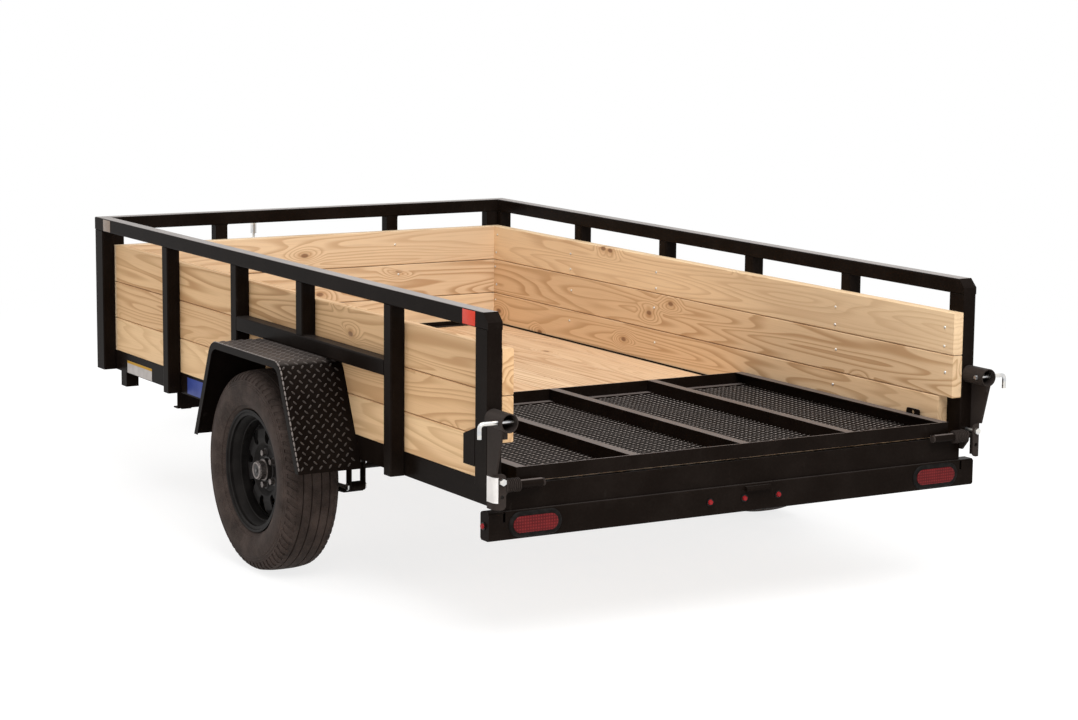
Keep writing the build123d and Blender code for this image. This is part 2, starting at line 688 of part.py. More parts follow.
# ================================================================= axle and springs
spring_x = rail_x - spring_width / 2
seat_height = 8.0
spring_top = wheel_z - axle_radius - seat_height
leaf_gap = 0.4
leaf_arc = (spring_half_span ** 2 + spring_camber ** 2) / (2 * spring_camber)
arc_centre_z = spring_top + leaf_arc
pack_depth = len(leaf_steps) * (leaf_thick + leaf_gap)
eye_radius = 17.0
spring_bolt_radius = 7.0
spring_bolt_across = 22.0
spring_bolt_head = 6.0
eye_arc = leaf_arc + leaf_thick - eye_radius
eye_z = arc_centre_z - sqrt(eye_arc ** 2 - spring_half_span ** 2)
axle_half = half_track - 70.0
hub_face = half_track + 14.0       # outer face of the hub's flange, against the wheel disc
spindle_radius = 16.0
spindle_reach = 10.0

with BuildPart() as axle:
    round_bar((-axle_half, wheel_y, wheel_z), (1, 0, 0), axle_radius, 2 * axle_half)
    round_bar((-hub_face - spindle_reach, wheel_y, wheel_z), (1, 0, 0), spindle_radius,
              2 * (hub_face + spindle_reach))
save(axle.part, "axle")


def leaf_point(radius, angle):
    """A point of the leaf pack, at a radius and an angle from the middle of its arc."""
    return (wheel_y + radius * sin(angle), arc_centre_z - radius * cos(angle))


for side_name, side in SIDES:
    with BuildPart() as leaf_spring:
        with BuildSketch(Plane.YZ.offset(side * spring_x - spring_width / 2)):
            for k, shorter in enumerate(leaf_steps):
                top = leaf_arc + k * (leaf_thick + leaf_gap)
                under = top + leaf_thick
                end = asin((spring_half_span - shorter) / top)
                with BuildLine():
                    upper = ThreePointArc(leaf_point(top, -end), leaf_point(top, 0), leaf_point(top, end))
                    lower = ThreePointArc(leaf_point(under, -end), leaf_point(under, 0),
                                          leaf_point(under, end))
                    Line(upper @ 0, lower @ 0)
                    Line(upper @ 1, lower @ 1)
                make_face()
            with Locations((wheel_y - spring_half_span, eye_z), (wheel_y + spring_half_span, eye_z)):
                Circle(eye_radius)
                Circle(spring_bolt_radius + running_clearance, mode=Mode.SUBTRACT)
        extrude(amount=spring_width)
    save(leaf_spring.part, f"leaf_spring_{side_name}")

# seat between axle and spring, and a clamp plate under the pack that the U-bolts pull up
clamp_half_x = 39.0
clamp_half_y = 60.0
clamp_thick = 10.0
clamp_corner = 10.0
ubolt_radius = 5.5
ubolt_gap = 1.5              # to the sides of the leaves
ubolt_spread = axle_radius + ubolt_radius + running_clearance
ubolt_tail = 20.0
ubolt_nut = 10.0
clamp_top = spring_top - pack_depth
clamp_bottom = clamp_top - clamp_thick
ubolt_planes = [spring_x + s * (spring_width / 2 + ubolt_gap + ubolt_radius) for s in (-1, 1)]
with BuildPart() as axle_clamps:
    block(spring_x - spring_width / 2, spring_x + spring_width / 2, wheel_y - clamp_half_y * 0.75,
          wheel_y + clamp_half_y * 0.75, spring_top + leaf_gap, wheel_z - axle_radius / 2)
    round_bar((spring_x - spring_width, wheel_y, wheel_z), (1, 0, 0), axle_radius, 2 * spring_width,
              mode=Mode.SUBTRACT)
    with BuildSketch(Plane.XY.offset(clamp_bottom)):
        with Locations((spring_x, wheel_y)):
            RectangleRounded(2 * clamp_half_x, 2 * clamp_half_y, clamp_corner)
        for x in ubolt_planes:
            with Locations((x, wheel_y - ubolt_spread), (x, wheel_y + ubolt_spread)):
                Circle(ubolt_radius + running_clearance, mode=Mode.SUBTRACT)
    extrude(amount=clamp_thick)
    mirror(about=Plane.YZ)
save(axle_clamps.part, "axle_clamps")

ubolt_end = clamp_bottom - ubolt_tail
with BuildPart() as u_bolts:
    for x in ubolt_planes:
        with BuildLine(Plane.YZ.offset(x)) as bend:
            Line((wheel_y - ubolt_spread, ubolt_end), (wheel_y - ubolt_spread, wheel_z))
            ThreePointArc((wheel_y - ubolt_spread, wheel_z), (wheel_y, wheel_z + ubolt_spread),
                          (wheel_y + ubolt_spread, wheel_z))
            Line((wheel_y + ubolt_spread, wheel_z), (wheel_y + ubolt_spread, ubolt_end))
        with BuildSketch(Plane((x, wheel_y - ubolt_spread, ubolt_end))):
            Circle(ubolt_radius)
        sweep()
        for y in (wheel_y - ubolt_spread, wheel_y + ubolt_spread):
            hex_head((x, y, clamp_bottom), (0, 0, -1), bolt_across, ubolt_nut)
    mirror(about=Plane.YZ)
save(u_bolts.part, "u_bolts")

# front hangers hold the eyes; the short rear hangers hold the shackles
hanger_wall = 5.0
hanger_top_half = 40.0
hanger_foot = 20.0
rear_hanger_half = 24.0
rear_hanger_drop = 40.0
strap_wall = 6.0
strap_width = 30.0
shackle_rise = 85.0
cheek_gap = spring_width / 2 + running_clearance
front_eye = (wheel_y + spring_half_span, eye_z)
rear_eye = (wheel_y - spring_half_span, eye_z)
shackle_top = (rear_eye[0], eye_z + shackle_rise)
with BuildPart() as spring_hangers:
    for s in (-1, 1):
        with BuildSketch(Plane.YZ.offset(spring_x + s * cheek_gap)):
            with BuildLine():
                Polyline((front_eye[0] - hanger_foot, eye_z), (front_eye[0] - hanger_top_half, frame_bottom),
                         (front_eye[0] + hanger_top_half, frame_bottom), (front_eye[0] + hanger_foot, eye_z),
                         close=True)
            make_face()
            with Locations(front_eye):
                Circle(hanger_foot)
                Circle(spring_bolt_radius + running_clearance, mode=Mode.SUBTRACT)
        extrude(amount=s * hanger_wall)
        with BuildSketch(Plane.YZ.offset(spring_x + s * (cheek_gap - 2 * running_clearance))) as cheek:
            with Locations((rear_eye[0], frame_bottom - rear_hanger_drop / 2)):
                Rectangle(2 * rear_hanger_half, rear_hanger_drop)
            fillet(cheek.vertices().group_by(Axis.Y)[0], hanger_foot / 2)
            with Locations(shackle_top):
                Circle(spring_bolt_radius + running_clearance, mode=Mode.SUBTRACT)
        extrude(amount=-s * hanger_wall)
    mirror(about=Plane.YZ)
save(spring_hangers.part, "spring_hangers")

with BuildPart() as shackles:
    for s in (-1, 1):
        with BuildSketch(Plane.YZ.offset(spring_x + s * cheek_gap)):
            with Locations((rear_eye[0], eye_z + shackle_rise / 2)):
                SlotCenterToCenter(shackle_rise, strap_width, rotation=90)
            with Locations(rear_eye, shackle_top):
                Circle(spring_bolt_radius + running_clearance, mode=Mode.SUBTRACT)
        extrude(amount=s * strap_wall)
    mirror(about=Plane.YZ)
save(shackles.part, "shackles")

with BuildPart() as spring_bolts:
    for eye, wall in ((front_eye, hanger_wall), (rear_eye, strap_wall), (shackle_top, strap_wall)):
        reach = cheek_gap + wall
        round_bar((spring_x - reach, *eye), (1, 0, 0), spring_bolt_radius, 2 * reach)
        for s in (-1, 1):
            hex_head((spring_x + s * reach, *eye), (s, 0, 0), spring_bolt_across, spring_bolt_head)
    mirror(about=Plane.YZ)
save(spring_bolts.part, "spring_bolts")

# ================================================================= wheels
rim_wall = 3.5
flange_lip = 5.0             # how far the rim's flange rolls outward
flange_tuck = 5.0
bead_radius = rim_radius - 16.0
well_radius = rim_radius - 34.0
well_half = rim_width * 0.25
window_count = 8
window_inner = 94.0
window_outer = 157.0
window_inner_half = 9.0
window_outer_half = 31.0
window_corner = 8.0
stud_circle = 57.15
stud_count = 5
nut_across = 21.0
nut_length = 16.0
nut_taper = 4.0              # degrees, tapered towards their ends
bore_radius = 42.0
# pressed disc from the bore out to the rim's well: offset outward from the hub's flange, radius
disc_rows = ((0.0, bore_radius), (0.0, 74.0), (13.0, 89.0), (16.0, 108.0), (11.0, 138.0), (-5.0, 162.0),
             (-9.0, well_radius - rim_wall / 2))
# half of the tyre's section from its bead to the middle of the tread: fraction of the half width, radius
bead_x = rim_width / 2 - flange_tuck - running_clearance
tyre_half = tyre_width / 2
tyre_rows = ((bead_x, bead_radius + running_clearance), (bead_x, rim_radius - 1),
             (bead_x + 6, rim_radius + 4), (tyre_half * 0.9, rim_radius + 20),
             (tyre_half, rim_radius + 56), (tyre_half * 0.985, rim_radius + 82),
             (tyre_half * 0.92, tyre_radius - 27), (tyre_half * 0.82, tyre_radius - 12),
             (tyre_half * 0.68, tyre_radius - 4))
groove_half = 4.0
groove_depth = 7.0
groove_xs = (0.47 * tyre_half, 0.17 * tyre_half)
tread_rows = list(tyre_rows)
for x in groove_xs:
    tread_rows += [(x + groove_half, tyre_radius), (x + groove_half / 2, tyre_radius - groove_depth),
                   (x - groove_half / 2, tyre_radius - groove_depth), (x - groove_half, tyre_radius)]


for side_name, side in SIDES:
    wheel_axis = Axis((0, wheel_y, wheel_z), (1, 0, 0))
    wheel_plane = Plane.XZ.offset(-wheel_y)
    with BuildPart() as tyre:
        with BuildSketch(wheel_plane):
            with BuildLine():
                section_rows = tread_rows + [(-x, radius) for x, radius in reversed(tread_rows)]
                Polyline(*[(side * (half_track + x), wheel_z + radius) for x, radius in section_rows],
                         close=True)
            make_face()
        revolve(axis=wheel_axis)
    save(tyre.part, f"tyre_{side_name}")

    half = rim_width / 2
    rim_half = [(0, well_radius), (well_half, well_radius), (well_half + 12, bead_radius - 1),
                (half - flange_tuck, bead_radius), (half - flange_tuck + 1.5, rim_radius),
                (half + flange_lip, rim_radius), (half + flange_lip, rim_radius - rim_wall * 2),
                (half + 0.5, rim_radius - rim_wall * 2), (half - 1, bead_radius - rim_wall),
                (well_half + 14, bead_radius - rim_wall - 1), (well_half + 2, well_radius - rim_wall),
                (0, well_radius - rim_wall)]
    with BuildPart() as wheel:
        with BuildSketch(wheel_plane):
            for flip in (-1, 1):
                with BuildLine():
                    Polyline(*[(side * half_track + flip * x, wheel_z + radius) for x, radius in rim_half],
                             close=True)
                make_face()
            with BuildLine():
                outer_face = [(side * (hub_face + x + rim_wall), wheel_z + radius) for x, radius in disc_rows]
                inner_face = [(side * (hub_face + x), wheel_z + radius) for x, radius in disc_rows]
                Polyline(*outer_face, *reversed(inner_face), close=True)
            make_face()
        revolve(axis=wheel_axis)
        with BuildSketch(Plane.YZ.offset(side * (hub_face - half))) as windows:
            with Locations((wheel_y, wheel_z)):
                with PolarLocations(0, window_count, start_angle=90 / window_count):
                    Polygon((window_inner, -window_inner_half), (window_outer, -window_outer_half),
                            (window_outer, window_outer_half), (window_inner, window_inner_half), align=None)
            fillet(windows.vertices(), window_corner)
        extrude(amount=side * rim_width, mode=Mode.SUBTRACT)
    save(wheel.part, f"wheel_{side_name}")

    barrel_radius = 38.0
    flange_radius = 70.0
    flange_thick = 10.0
    cap_radius = 31.0
    cap_reach = 48.0
    nut_face = hub_face + rim_wall
    hub_rows = ((spindle_reach + 2, 0), (spindle_reach + 2, spindle_radius + running_clearance),
                (axle_half + 1 - hub_face, spindle_radius + running_clearance),
                (axle_half + 1 - hub_face, barrel_radius), (-flange_thick, barrel_radius),
                (-flange_thick, flange_radius), (0, flange_radius), (0, barrel_radius), (22, barrel_radius),
                (24, cap_radius), (cap_reach - 6, cap_radius - 1), (cap_reach, cap_radius - 10),
                (cap_reach, 0))
    with BuildPart() as hub:
        with BuildSketch(wheel_plane):
            with BuildLine():
                Polyline(*[(side * (hub_face + x), wheel_z + radius) for x, radius in hub_rows], close=True)
            make_face()
        revolve(axis=wheel_axis)
        with BuildSketch(Plane.YZ.offset(side * nut_face)):
            with Locations((wheel_y, wheel_z)):
                with PolarLocations(stud_circle, stud_count):
                    RegularPolygon(nut_across / 2, 6, major_radius=False)
        extrude(amount=side * nut_length, taper=nut_taper)
    save(hub.part, f"hub_{side_name}")

# ================================================================= tongue
tongue_top = frame_bottom
tongue_bottom = tongue_top - tongue_depth
tongue_root = 4.0
support_y = bed_front - tongue_run_under
support_depth = 66.0
support_leg = 38.0
support_wall = 4.8
with BuildPart() as tongue_support:
    with BuildSketch(Plane.YZ.offset(-rail_x)):
        with BuildLine():
            Polyline((support_y + support_leg, tongue_top), (support_y, tongue_top),
                     (support_y, tongue_top - support_depth),
                     (support_y + support_leg, tongue_top - support_depth),
                     (support_y + support_leg, tongue_top - support_depth + support_wall),
                     (support_y + support_wall, tongue_top - support_depth + support_wall),
                     (support_y + support_wall, tongue_top - support_wall),
                     (support_y + support_leg, tongue_top - support_wall), close=True)
        make_face()
    extrude(amount=2 * rail_x)
save(tongue_support.part, "tongue_support")

leg_tip_back = 95.0          # tips of the legs behind the nose
leg_tip_x = 50.0
leg_rear_inset = 30.0
leg_front_y = coupler_nose - leg_tip_back
leg_front_x = leg_tip_x
leg_rear_y = support_y + support_leg
leg_rear_x = rail_x - leg_rear_inset
leg_dx, leg_dy = leg_rear_x - leg_front_x, leg_rear_y - leg_front_y
leg_slope = leg_dx / -leg_dy
leg_length = sqrt(leg_dx ** 2 + leg_dy ** 2)
with BuildPart() as tongue:
    ahead = Vector(leg_dx, leg_dy, 0).normalized()
    outward = Vector(0, 0, 1).cross(ahead)
    with BuildSketch(Plane((leg_front_x, leg_front_y, (tongue_top + tongue_bottom) / 2), x_dir=outward,
                           z_dir=ahead)) as channel:
        Rectangle(tongue_flange, tongue_depth, align=(Align.MAX, Align.CENTER))
        with Locations((-tongue_wall, 0)):
            Rectangle(tongue_flange, tongue_depth - 2 * tongue_wall, align=(Align.MAX, Align.CENTER),
                      mode=Mode.SUBTRACT)
        fillet(channel.vertices().sort_by_distance((-tongue_wall, 0))[:2], tongue_root)
    extrude(amount=leg_length)
    # the rear end is cut square to the bed against the support
    block(0, rail_x, support_y - tongue_flange * 4, leg_rear_y, tongue_bottom, tongue_top,
          mode=Mode.SUBTRACT)
    mirror(about=Plane.YZ)
save(tongue.part, "tongue")

# coupler: a pressed hood over the joined tips of the legs, with a ball socket at its nose
socket_radius = ball_socket_radius
coupler_z = tongue_top
ball_back = 38.0             # ball's centre behind the nose
ball_y = coupler_nose - ball_back
boss_radius = ball_back
boss_drop = 30.0
hood_rise = 30.0
boss_rise = 36.0
hood_corner = 7.0
hood_rear_y = coupler_nose - coupler_length
hood_rear_half = leg_front_x + (leg_front_y - hood_rear_y) * leg_slope - tongue_flange / 2
with BuildPart() as coupler:
    with BuildSketch(Plane.XY.offset(coupler_z)) as hood_plan:
        Polygon((-boss_radius, ball_y), (boss_radius, ball_y), (hood_rear_half, hood_rear_y),
                (-hood_rear_half, hood_rear_y), align=None)
    extrude(amount=hood_rise)
    fillet(coupler.edges().group_by(Axis.Z)[-1], hood_corner)
    with BuildSketch(Plane.XY.offset(coupler_z)) as hood_hollow:
        Polygon((-boss_radius + coupler_wall, ball_y), (boss_radius - coupler_wall, ball_y),
                (hood_rear_half - coupler_wall, hood_rear_y), (coupler_wall - hood_rear_half, hood_rear_y),
                align=None)
    extrude(amount=hood_rise - coupler_wall, mode=Mode.SUBTRACT)
    round_bar((0, ball_y, coupler_z - boss_drop), (0, 0, 1), boss_radius, boss_drop + boss_rise)
    fillet(coupler.edges().filter_by(GeomType.CIRCLE).group_by(Axis.Z)[-1], boss_rise - hood_rise - 1)
    with Locations((0, ball_y, coupler_z - coupler_wall)):
        Sphere(socket_radius, mode=Mode.SUBTRACT)
    round_bar((0, ball_y, coupler_z - boss_drop), (0, 0, 1), socket_radius, boss_drop - coupler_wall,
              mode=Mode.SUBTRACT)
save(coupler.part, "coupler")

# latch lever on the hood
latch_width = 22.0
latch_wall = 5.0
latch_rows = ((80.0, 0.0), (80.0, 18.0), (150.0, 34.0), (175.0, 34.0), (175.0, 29.0), (152.0, 29.0),
              (100.0, 16.0), (100.0, 0.0))      # behind the nose, above the hood
with BuildPart() as coupler_latch:
    hood_top = coupler_z + hood_rise
    with BuildSketch(Plane.YZ.offset(-latch_width / 2)):
        with BuildLine():
            Polyline(*[(coupler_nose - back, hood_top + up) for back, up in latch_rows], close=True)
        make_face()
    extrude(amount=latch_width)
    fillet(coupler_latch.edges().filter_by(Axis.Z).group_by(Axis.Y)[0], latch_wall)
save(coupler_latch.part, "coupler_latch")

# jack: an A-frame screw jack bolted through the plate between the legs
jack_y = coupler_nose - jack_back
plate_thick = 8.0
plate_margin = 90.0          # plate behind the jack's centre
plate_inset = 8.0
plate_front_y = hood_rear_y - leaf_gap
plate_rear_y = jack_y - plate_margin
plate_front_half = leg_front_x + (leg_front_y - plate_front_y) * leg_slope - plate_inset
plate_rear_half = leg_front_x + (leg_front_y - plate_rear_y) * leg_slope - plate_inset
jack_top = tongue_top + jack_rise
jack_cap = 24.0
jack_cap_lip = 6.0
jack_skirt = 90.0            # jack's tube below the tongue
jack_collar = 30.0
jack_collar_thick = 8.0
leg_radius = jack_radius - jack_wall - running_clearance
with BuildPart() as jack_plate:
    with BuildSketch(Plane.XY.offset(tongue_top)):
        Polygon((-plate_front_half, plate_front_y), (plate_front_half, plate_front_y),
                (plate_rear_half, plate_rear_y), (-plate_rear_half, plate_rear_y), align=None)
        with Locations((0, jack_y)):
            Circle(jack_radius + running_clearance, mode=Mode.SUBTRACT)
    extrude(amount=plate_thick)
save(jack_plate.part, "jack_plate")

collar_z = tongue_top + plate_thick
with BuildPart() as jack_tube:
    round_bar((0, jack_y, tongue_bottom - jack_skirt), (0, 0, 1), jack_radius,
              jack_top - tongue_bottom + jack_skirt)
    round_bar((0, jack_y, jack_top), (0, 0, 1), jack_radius + jack_cap_lip, jack_cap)
    fillet(jack_tube.edges().group_by(Axis.Z)[-1], jack_cap / 3)
    round_bar((0, jack_y, collar_z), (0, 0, 1), jack_radius + jack_collar, jack_collar_thick)
    with BuildSketch(Plane.XY.offset(collar_z + jack_collar_thick)):
        with Locations((0, jack_y)):
            with PolarLocations(jack_radius + jack_collar / 2, 3, start_angle=90):
                RegularPolygon(bolt_across / 2, 6, major_radius=False)
    extrude(amount=bolt_head)
    round_bar((0, jack_y, tongue_bottom - jack_skirt), (0, 0, 1), leg_radius + running_clearance,
              jack_top - tongue_bottom + jack_skirt, mode=Mode.SUBTRACT)
save(jack_tube.part, "jack_tube")

crank_bar = 6.5
crank_rise = 26.0
crank_reach = 125.0
grip_radius = 13.0
grip_length = 90.0
with BuildPart() as jack_crank:
    crank_foot = jack_top + jack_cap
    with BuildLine(Plane.XZ.offset(-jack_y)):
        FilletPolyline((0, crank_foot), (0, crank_foot + crank_rise), (crank_reach, crank_foot + crank_rise),
                       (crank_reach, crank_foot + 2 * crank_rise), radius=2 * crank_bar)
    with BuildSketch(Plane((0, jack_y, crank_foot))):
        Circle(crank_bar)
    sweep()
    round_bar((crank_reach, jack_y, crank_foot + 2 * crank_rise), (0, 0, 1), grip_radius, grip_length)
    fillet(jack_crank.edges().filter_by(GeomType.CIRCLE).group_by(Axis.Z)[-1], grip_radius / 2)
save(jack_crank.part, "jack_crank")

foot_thick = 8.0
with BuildPart() as jack_leg:
    leg_top = jack_top - jack_travel - foot_thick
    round_bar((0, jack_y, 0), (0, 0, 1), leg_radius, leg_top)
    round_bar((0, jack_y, 0), (0, 0, 1), foot_radius, foot_thick)
    fillet(jack_leg.faces().sort_by(Axis.Z)[0].edges(), foot_thick / 3)
save(jack_leg.part, "jack_leg")
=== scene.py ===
"""Utility trailer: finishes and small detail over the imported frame, in metres."""
import math

import bpy
from mathutils import Matrix, Vector


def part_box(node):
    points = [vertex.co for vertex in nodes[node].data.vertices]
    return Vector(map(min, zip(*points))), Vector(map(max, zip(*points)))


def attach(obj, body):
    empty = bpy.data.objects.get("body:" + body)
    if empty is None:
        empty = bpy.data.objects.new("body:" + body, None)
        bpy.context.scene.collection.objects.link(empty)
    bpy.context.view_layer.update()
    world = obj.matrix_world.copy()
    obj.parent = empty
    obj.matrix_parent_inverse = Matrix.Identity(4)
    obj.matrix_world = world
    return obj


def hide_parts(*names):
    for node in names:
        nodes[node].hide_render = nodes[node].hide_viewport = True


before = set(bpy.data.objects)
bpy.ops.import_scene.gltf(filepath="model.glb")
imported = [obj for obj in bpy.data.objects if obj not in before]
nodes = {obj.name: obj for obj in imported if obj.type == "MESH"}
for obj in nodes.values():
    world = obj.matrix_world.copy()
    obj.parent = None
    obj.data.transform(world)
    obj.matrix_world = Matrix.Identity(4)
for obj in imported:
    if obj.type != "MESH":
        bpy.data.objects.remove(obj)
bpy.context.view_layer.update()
scene = bpy.context.scene
SIDES = (("left", -1), ("right", 1))

# ---- places on the frame
AXLE_Y, AXLE_Z = -0.7855, 0.340
# along the axle: the tyre's middle, the hub's face, the disc's outer face and the cap's start
TYRE_MIDDLE, HUB_FACE, DISC_FACE, CAP_START = 0.9937, 1.0077, 1.0112, 1.0307
# outer and inner faces of the side posts, and half their depth
POST_OUTER, POST_INNER, POST_HALF = 0.921, 0.8702, 0.0254
RAIL_FACE = 0.8702                          # outer face of the floor frame's side rails
TOP_RAIL_LOW, TOP_RAIL_MIDDLE = 0.9782, 1.0036
FLOOR_TOP = 0.5082
BOARD_INNER, FRONT_BOARD_INNER = 0.8321, 0.9136
# where the first board of a wall (Z) or floor (X) begins, and how far apart the boards repeat
BOARD_START = {"Z": 0.4955, "X": -0.8668}
BOARD_PITCH = {"Z": 0.1424, "X": 0.14447}
MESH_LOW = 0.5139                           # underside of the ramp's mesh
# the bumper's faces that carry marker lamps, and how far a lamp's collar stands out
BUMPER_REAR, BUMPER_END, COLLAR = 2.1342, 0.921, 0.003


# ---- shader maths
class Wire:
    """A shader socket. A sum on it adds Math nodes; node() adds any other node to its tree."""

    def __init__(self, tree, socket=None):
        self.tree = tree
        self.socket = socket

    def node(self, kind, settings, values, out=0):
        """Add a node: its settings first, then the values or links of its sockets."""
        made = self.tree.nodes.new("ShaderNode" + kind)
        for name, setting in settings.items():
            setattr(made, name, setting)
        for name, value in values.items():
            if isinstance(value, Wire):
                self.tree.links.new(value.socket, made.inputs[name])
            else:
                made.inputs[name].default_value = value
        return Wire(self.tree, made.outputs[out])

    def math(self, operation, *values):
        """A Math node on these values."""
        return self.node("Math", {"operation": operation}, dict(enumerate(values)))

    def __add__(self, other):
        return self.math("ADD", self, other)

    def __radd__(self, other):
        return self.math("ADD", other, self)

    def __sub__(self, other):
        return self.math("SUBTRACT", self, other)

    def __rsub__(self, other):
        return self.math("SUBTRACT", other, self)

    def __mul__(self, other):
        return self.math("MULTIPLY", self, other)

    def __rmul__(self, other):
        return self.math("MULTIPLY", other, self)

    def __truediv__(self, other):
        return self.math("DIVIDE", self, other)

    def apply(self, operation):
        """A Math operation that takes this value alone."""
        return self.math(operation, self)

    def axis(self, name):
        """This point's X, Y or Z."""
        return self.node("SeparateXYZ", {}, {0: self}, out="XYZ".index(name))

    def length(self):
        """How far this point is from the origin."""
        return self.node("VectorMath", {"operation": "LENGTH"}, {0: self}, out=1)

    def step(self, low, high):
        """0 below low, 1 above high, smooth between."""
        return self.node("MapRange", {"interpolation_type": "SMOOTHSTEP"},
                         {0: self, 1: low, 2: high})

    def blend(self, under, over):
        """A colour: under where this value is 0 and over where it is 1."""
        under, over = (c if isinstance(c, Wire) else (*c, 1.0) for c in (under, over))
        return self.node("Mix", {"data_type": "RGBA"}, {0: self, 6: under, 7: over}, out=2)

    def noise(self, scale, detail=3.0, rough=0.5, stretch=(1, 1, 1), distortion=0.0):
        """Noise on this point, finer for a larger scale, drawn out where stretch is small."""
        place = self.node("Mapping", {}, {0: self, 3: stretch})
        return place.node("TexNoise", {}, {"Vector": place, "Scale": scale, "Detail": detail,
                                           "Roughness": rough, "Distortion": distortion})

    def bump(self, height, strength, distance):
        """A normal from a height between about 0 and 1, which stands for the distance."""
        return self.node("Bump", {}, {"Strength": strength, "Distance": distance,
                                      "Height": height})


def finish_material(name, **fixed):
    """A new material with its fixed sockets set: itself, its shader, and a wire for the
    object's own point."""
    material = bpy.data.materials.new(name)
    material.use_nodes = True
    tree = material.node_tree
    shader = tree.nodes["Principled BSDF"]
    for socket, value in fixed.items():
        shader.inputs[socket.replace("_", " ")].default_value = value
    point = Wire(tree).node("TexCoord", {}, {}, out="Object")
    return material, shader, point


def plug(shader, **values):
    """Link what varies over the surface to the shader."""
    for socket, wire in values.items():
        wire.tree.links.new(wire.socket, shader.inputs[socket.replace("_", " ")])


# ---- finishes
WARM_SHEEN = (1.0, 0.91, 0.86, 1.0)
COAT_BLACK, HANDLED = (0.0066, 0.0042, 0.0031), (0.04, 0.034, 0.03)
DUST_SHARE = (0.52, 0.42, 0.37)             # colour of the dust, as a share of its amount

PALE_PINE, DEEP_PINE, AMBER_PINE = (0.84, 0.60, 0.375), (0.745, 0.495, 0.29), (0.66, 0.44, 0.265)
LATE_WOOD, STREAK_WOOD, FIBRE_WOOD = (0.43, 0.225, 0.10), (0.60, 0.39, 0.225), (0.50, 0.31, 0.17)
KNOT_HALO, KNOT_HEART = (0.45, 0.225, 0.095), (0.19, 0.08, 0.035)
# painted shade at the plank ends under the ramp: its colour, where it is full and where it ends
PLANK_END_SHADE, END_SHADE_FULL, END_SHADE_EDGE = (0.02, 0.013, 0.009), -2.105, -2.085
KNOTS_PER_METRE = 3.6

# the cap's end plug: its radius, the hub in its middle, and where along the axle it begins
PLUG_EDGE, PLUG_CENTRE, PLUG_START = (0.0205, 0.0230), (0.003, 0.0045), (1.046, 1.048)
NECK_EDGE = (0.0445, 0.0465)                # radius of the hub's neck behind the cap
WASHER_END = (DISC_FACE + 0.0029, DISC_FACE + 0.0033)
DARKENED_METAL = (0.022, 0.0185, 0.017)


def powder_coat(name="powder_coat", tint=COAT_BLACK, dust=0.010,
                dust_and_sheen_on_top=(0.035, 0.0294, 0.027), shine=0.018):
    """Glossy black powder coat with orange peel, thin dust and a painted highlight on upward
    faces, and handling marks."""
    material, shader, point = finish_material(name, Specular_IOR_Level=shine, Coat_Roughness=0.1,
                                              Specular_Tint=WARM_SHEEN)
    upward = point.node("TexCoord", {}, {}, out="Normal").axis("Z").step(0.75, 0.97)
    cloud = point.noise(7.0, 4.0)
    fine = point.noise(160.0, 2.0)
    marks = point.noise(46.0, 5.0, 0.7, stretch=(1, 1, 0.25)).step(0.62, 0.74)
    peel = point.noise(420.0, 2.0) * 0.7 + point.noise(90.0, 2.0) * 0.3
    dusty = [c + dust * share for c, share in zip(tint, DUST_SHARE)]
    colour = (cloud * 0.7 + fine * 0.3).step(0.35, 0.75).blend(tint, dusty)
    colour = (marks * 0.25).blend(colour, HANDLED)
    # upward faces turn pale: thin dust, and a painted highlight of light glancing off the tops
    film = upward * (0.6 + cloud * 0.5 + marks * 0.3)
    plug(shader, Base_Color=film.blend(colour, dust_and_sheen_on_top),
         Roughness=0.24 + cloud * 0.14 + marks * 0.2 + upward * 0.05,
         Coat_Weight=0.018 - marks * 0.015, Normal=point.bump(peel, 0.3, 0.0006))
    return material


def mesh_coat():
    """Black coat of the ramp's mesh, painted pale on the high points of its strands: a painted
    highlight.
    """
    material, shader, point = finish_material("mesh_coat", Specular_IOR_Level=0.1,
                                              Specular_Tint=WARM_SHEEN)
    cloud = point.noise(9.0, 3.0)
    grit = point.noise(300.0, 2.0)
    # painted highlight: the top of each strand is pale where it would catch the light
    high = point.axis("Z").step(MESH_LOW + 0.0035, MESH_LOW + 0.0049)
    colour = (high * (0.7 + cloud * 0.5)).blend((0.0078, 0.0056, 0.0046), (0.46, 0.405, 0.375))
    plug(shader, Base_Color=colour, Roughness=0.4 + grit * 0.2,
         Normal=point.bump(grit, 0.3, 0.0005))
    return material


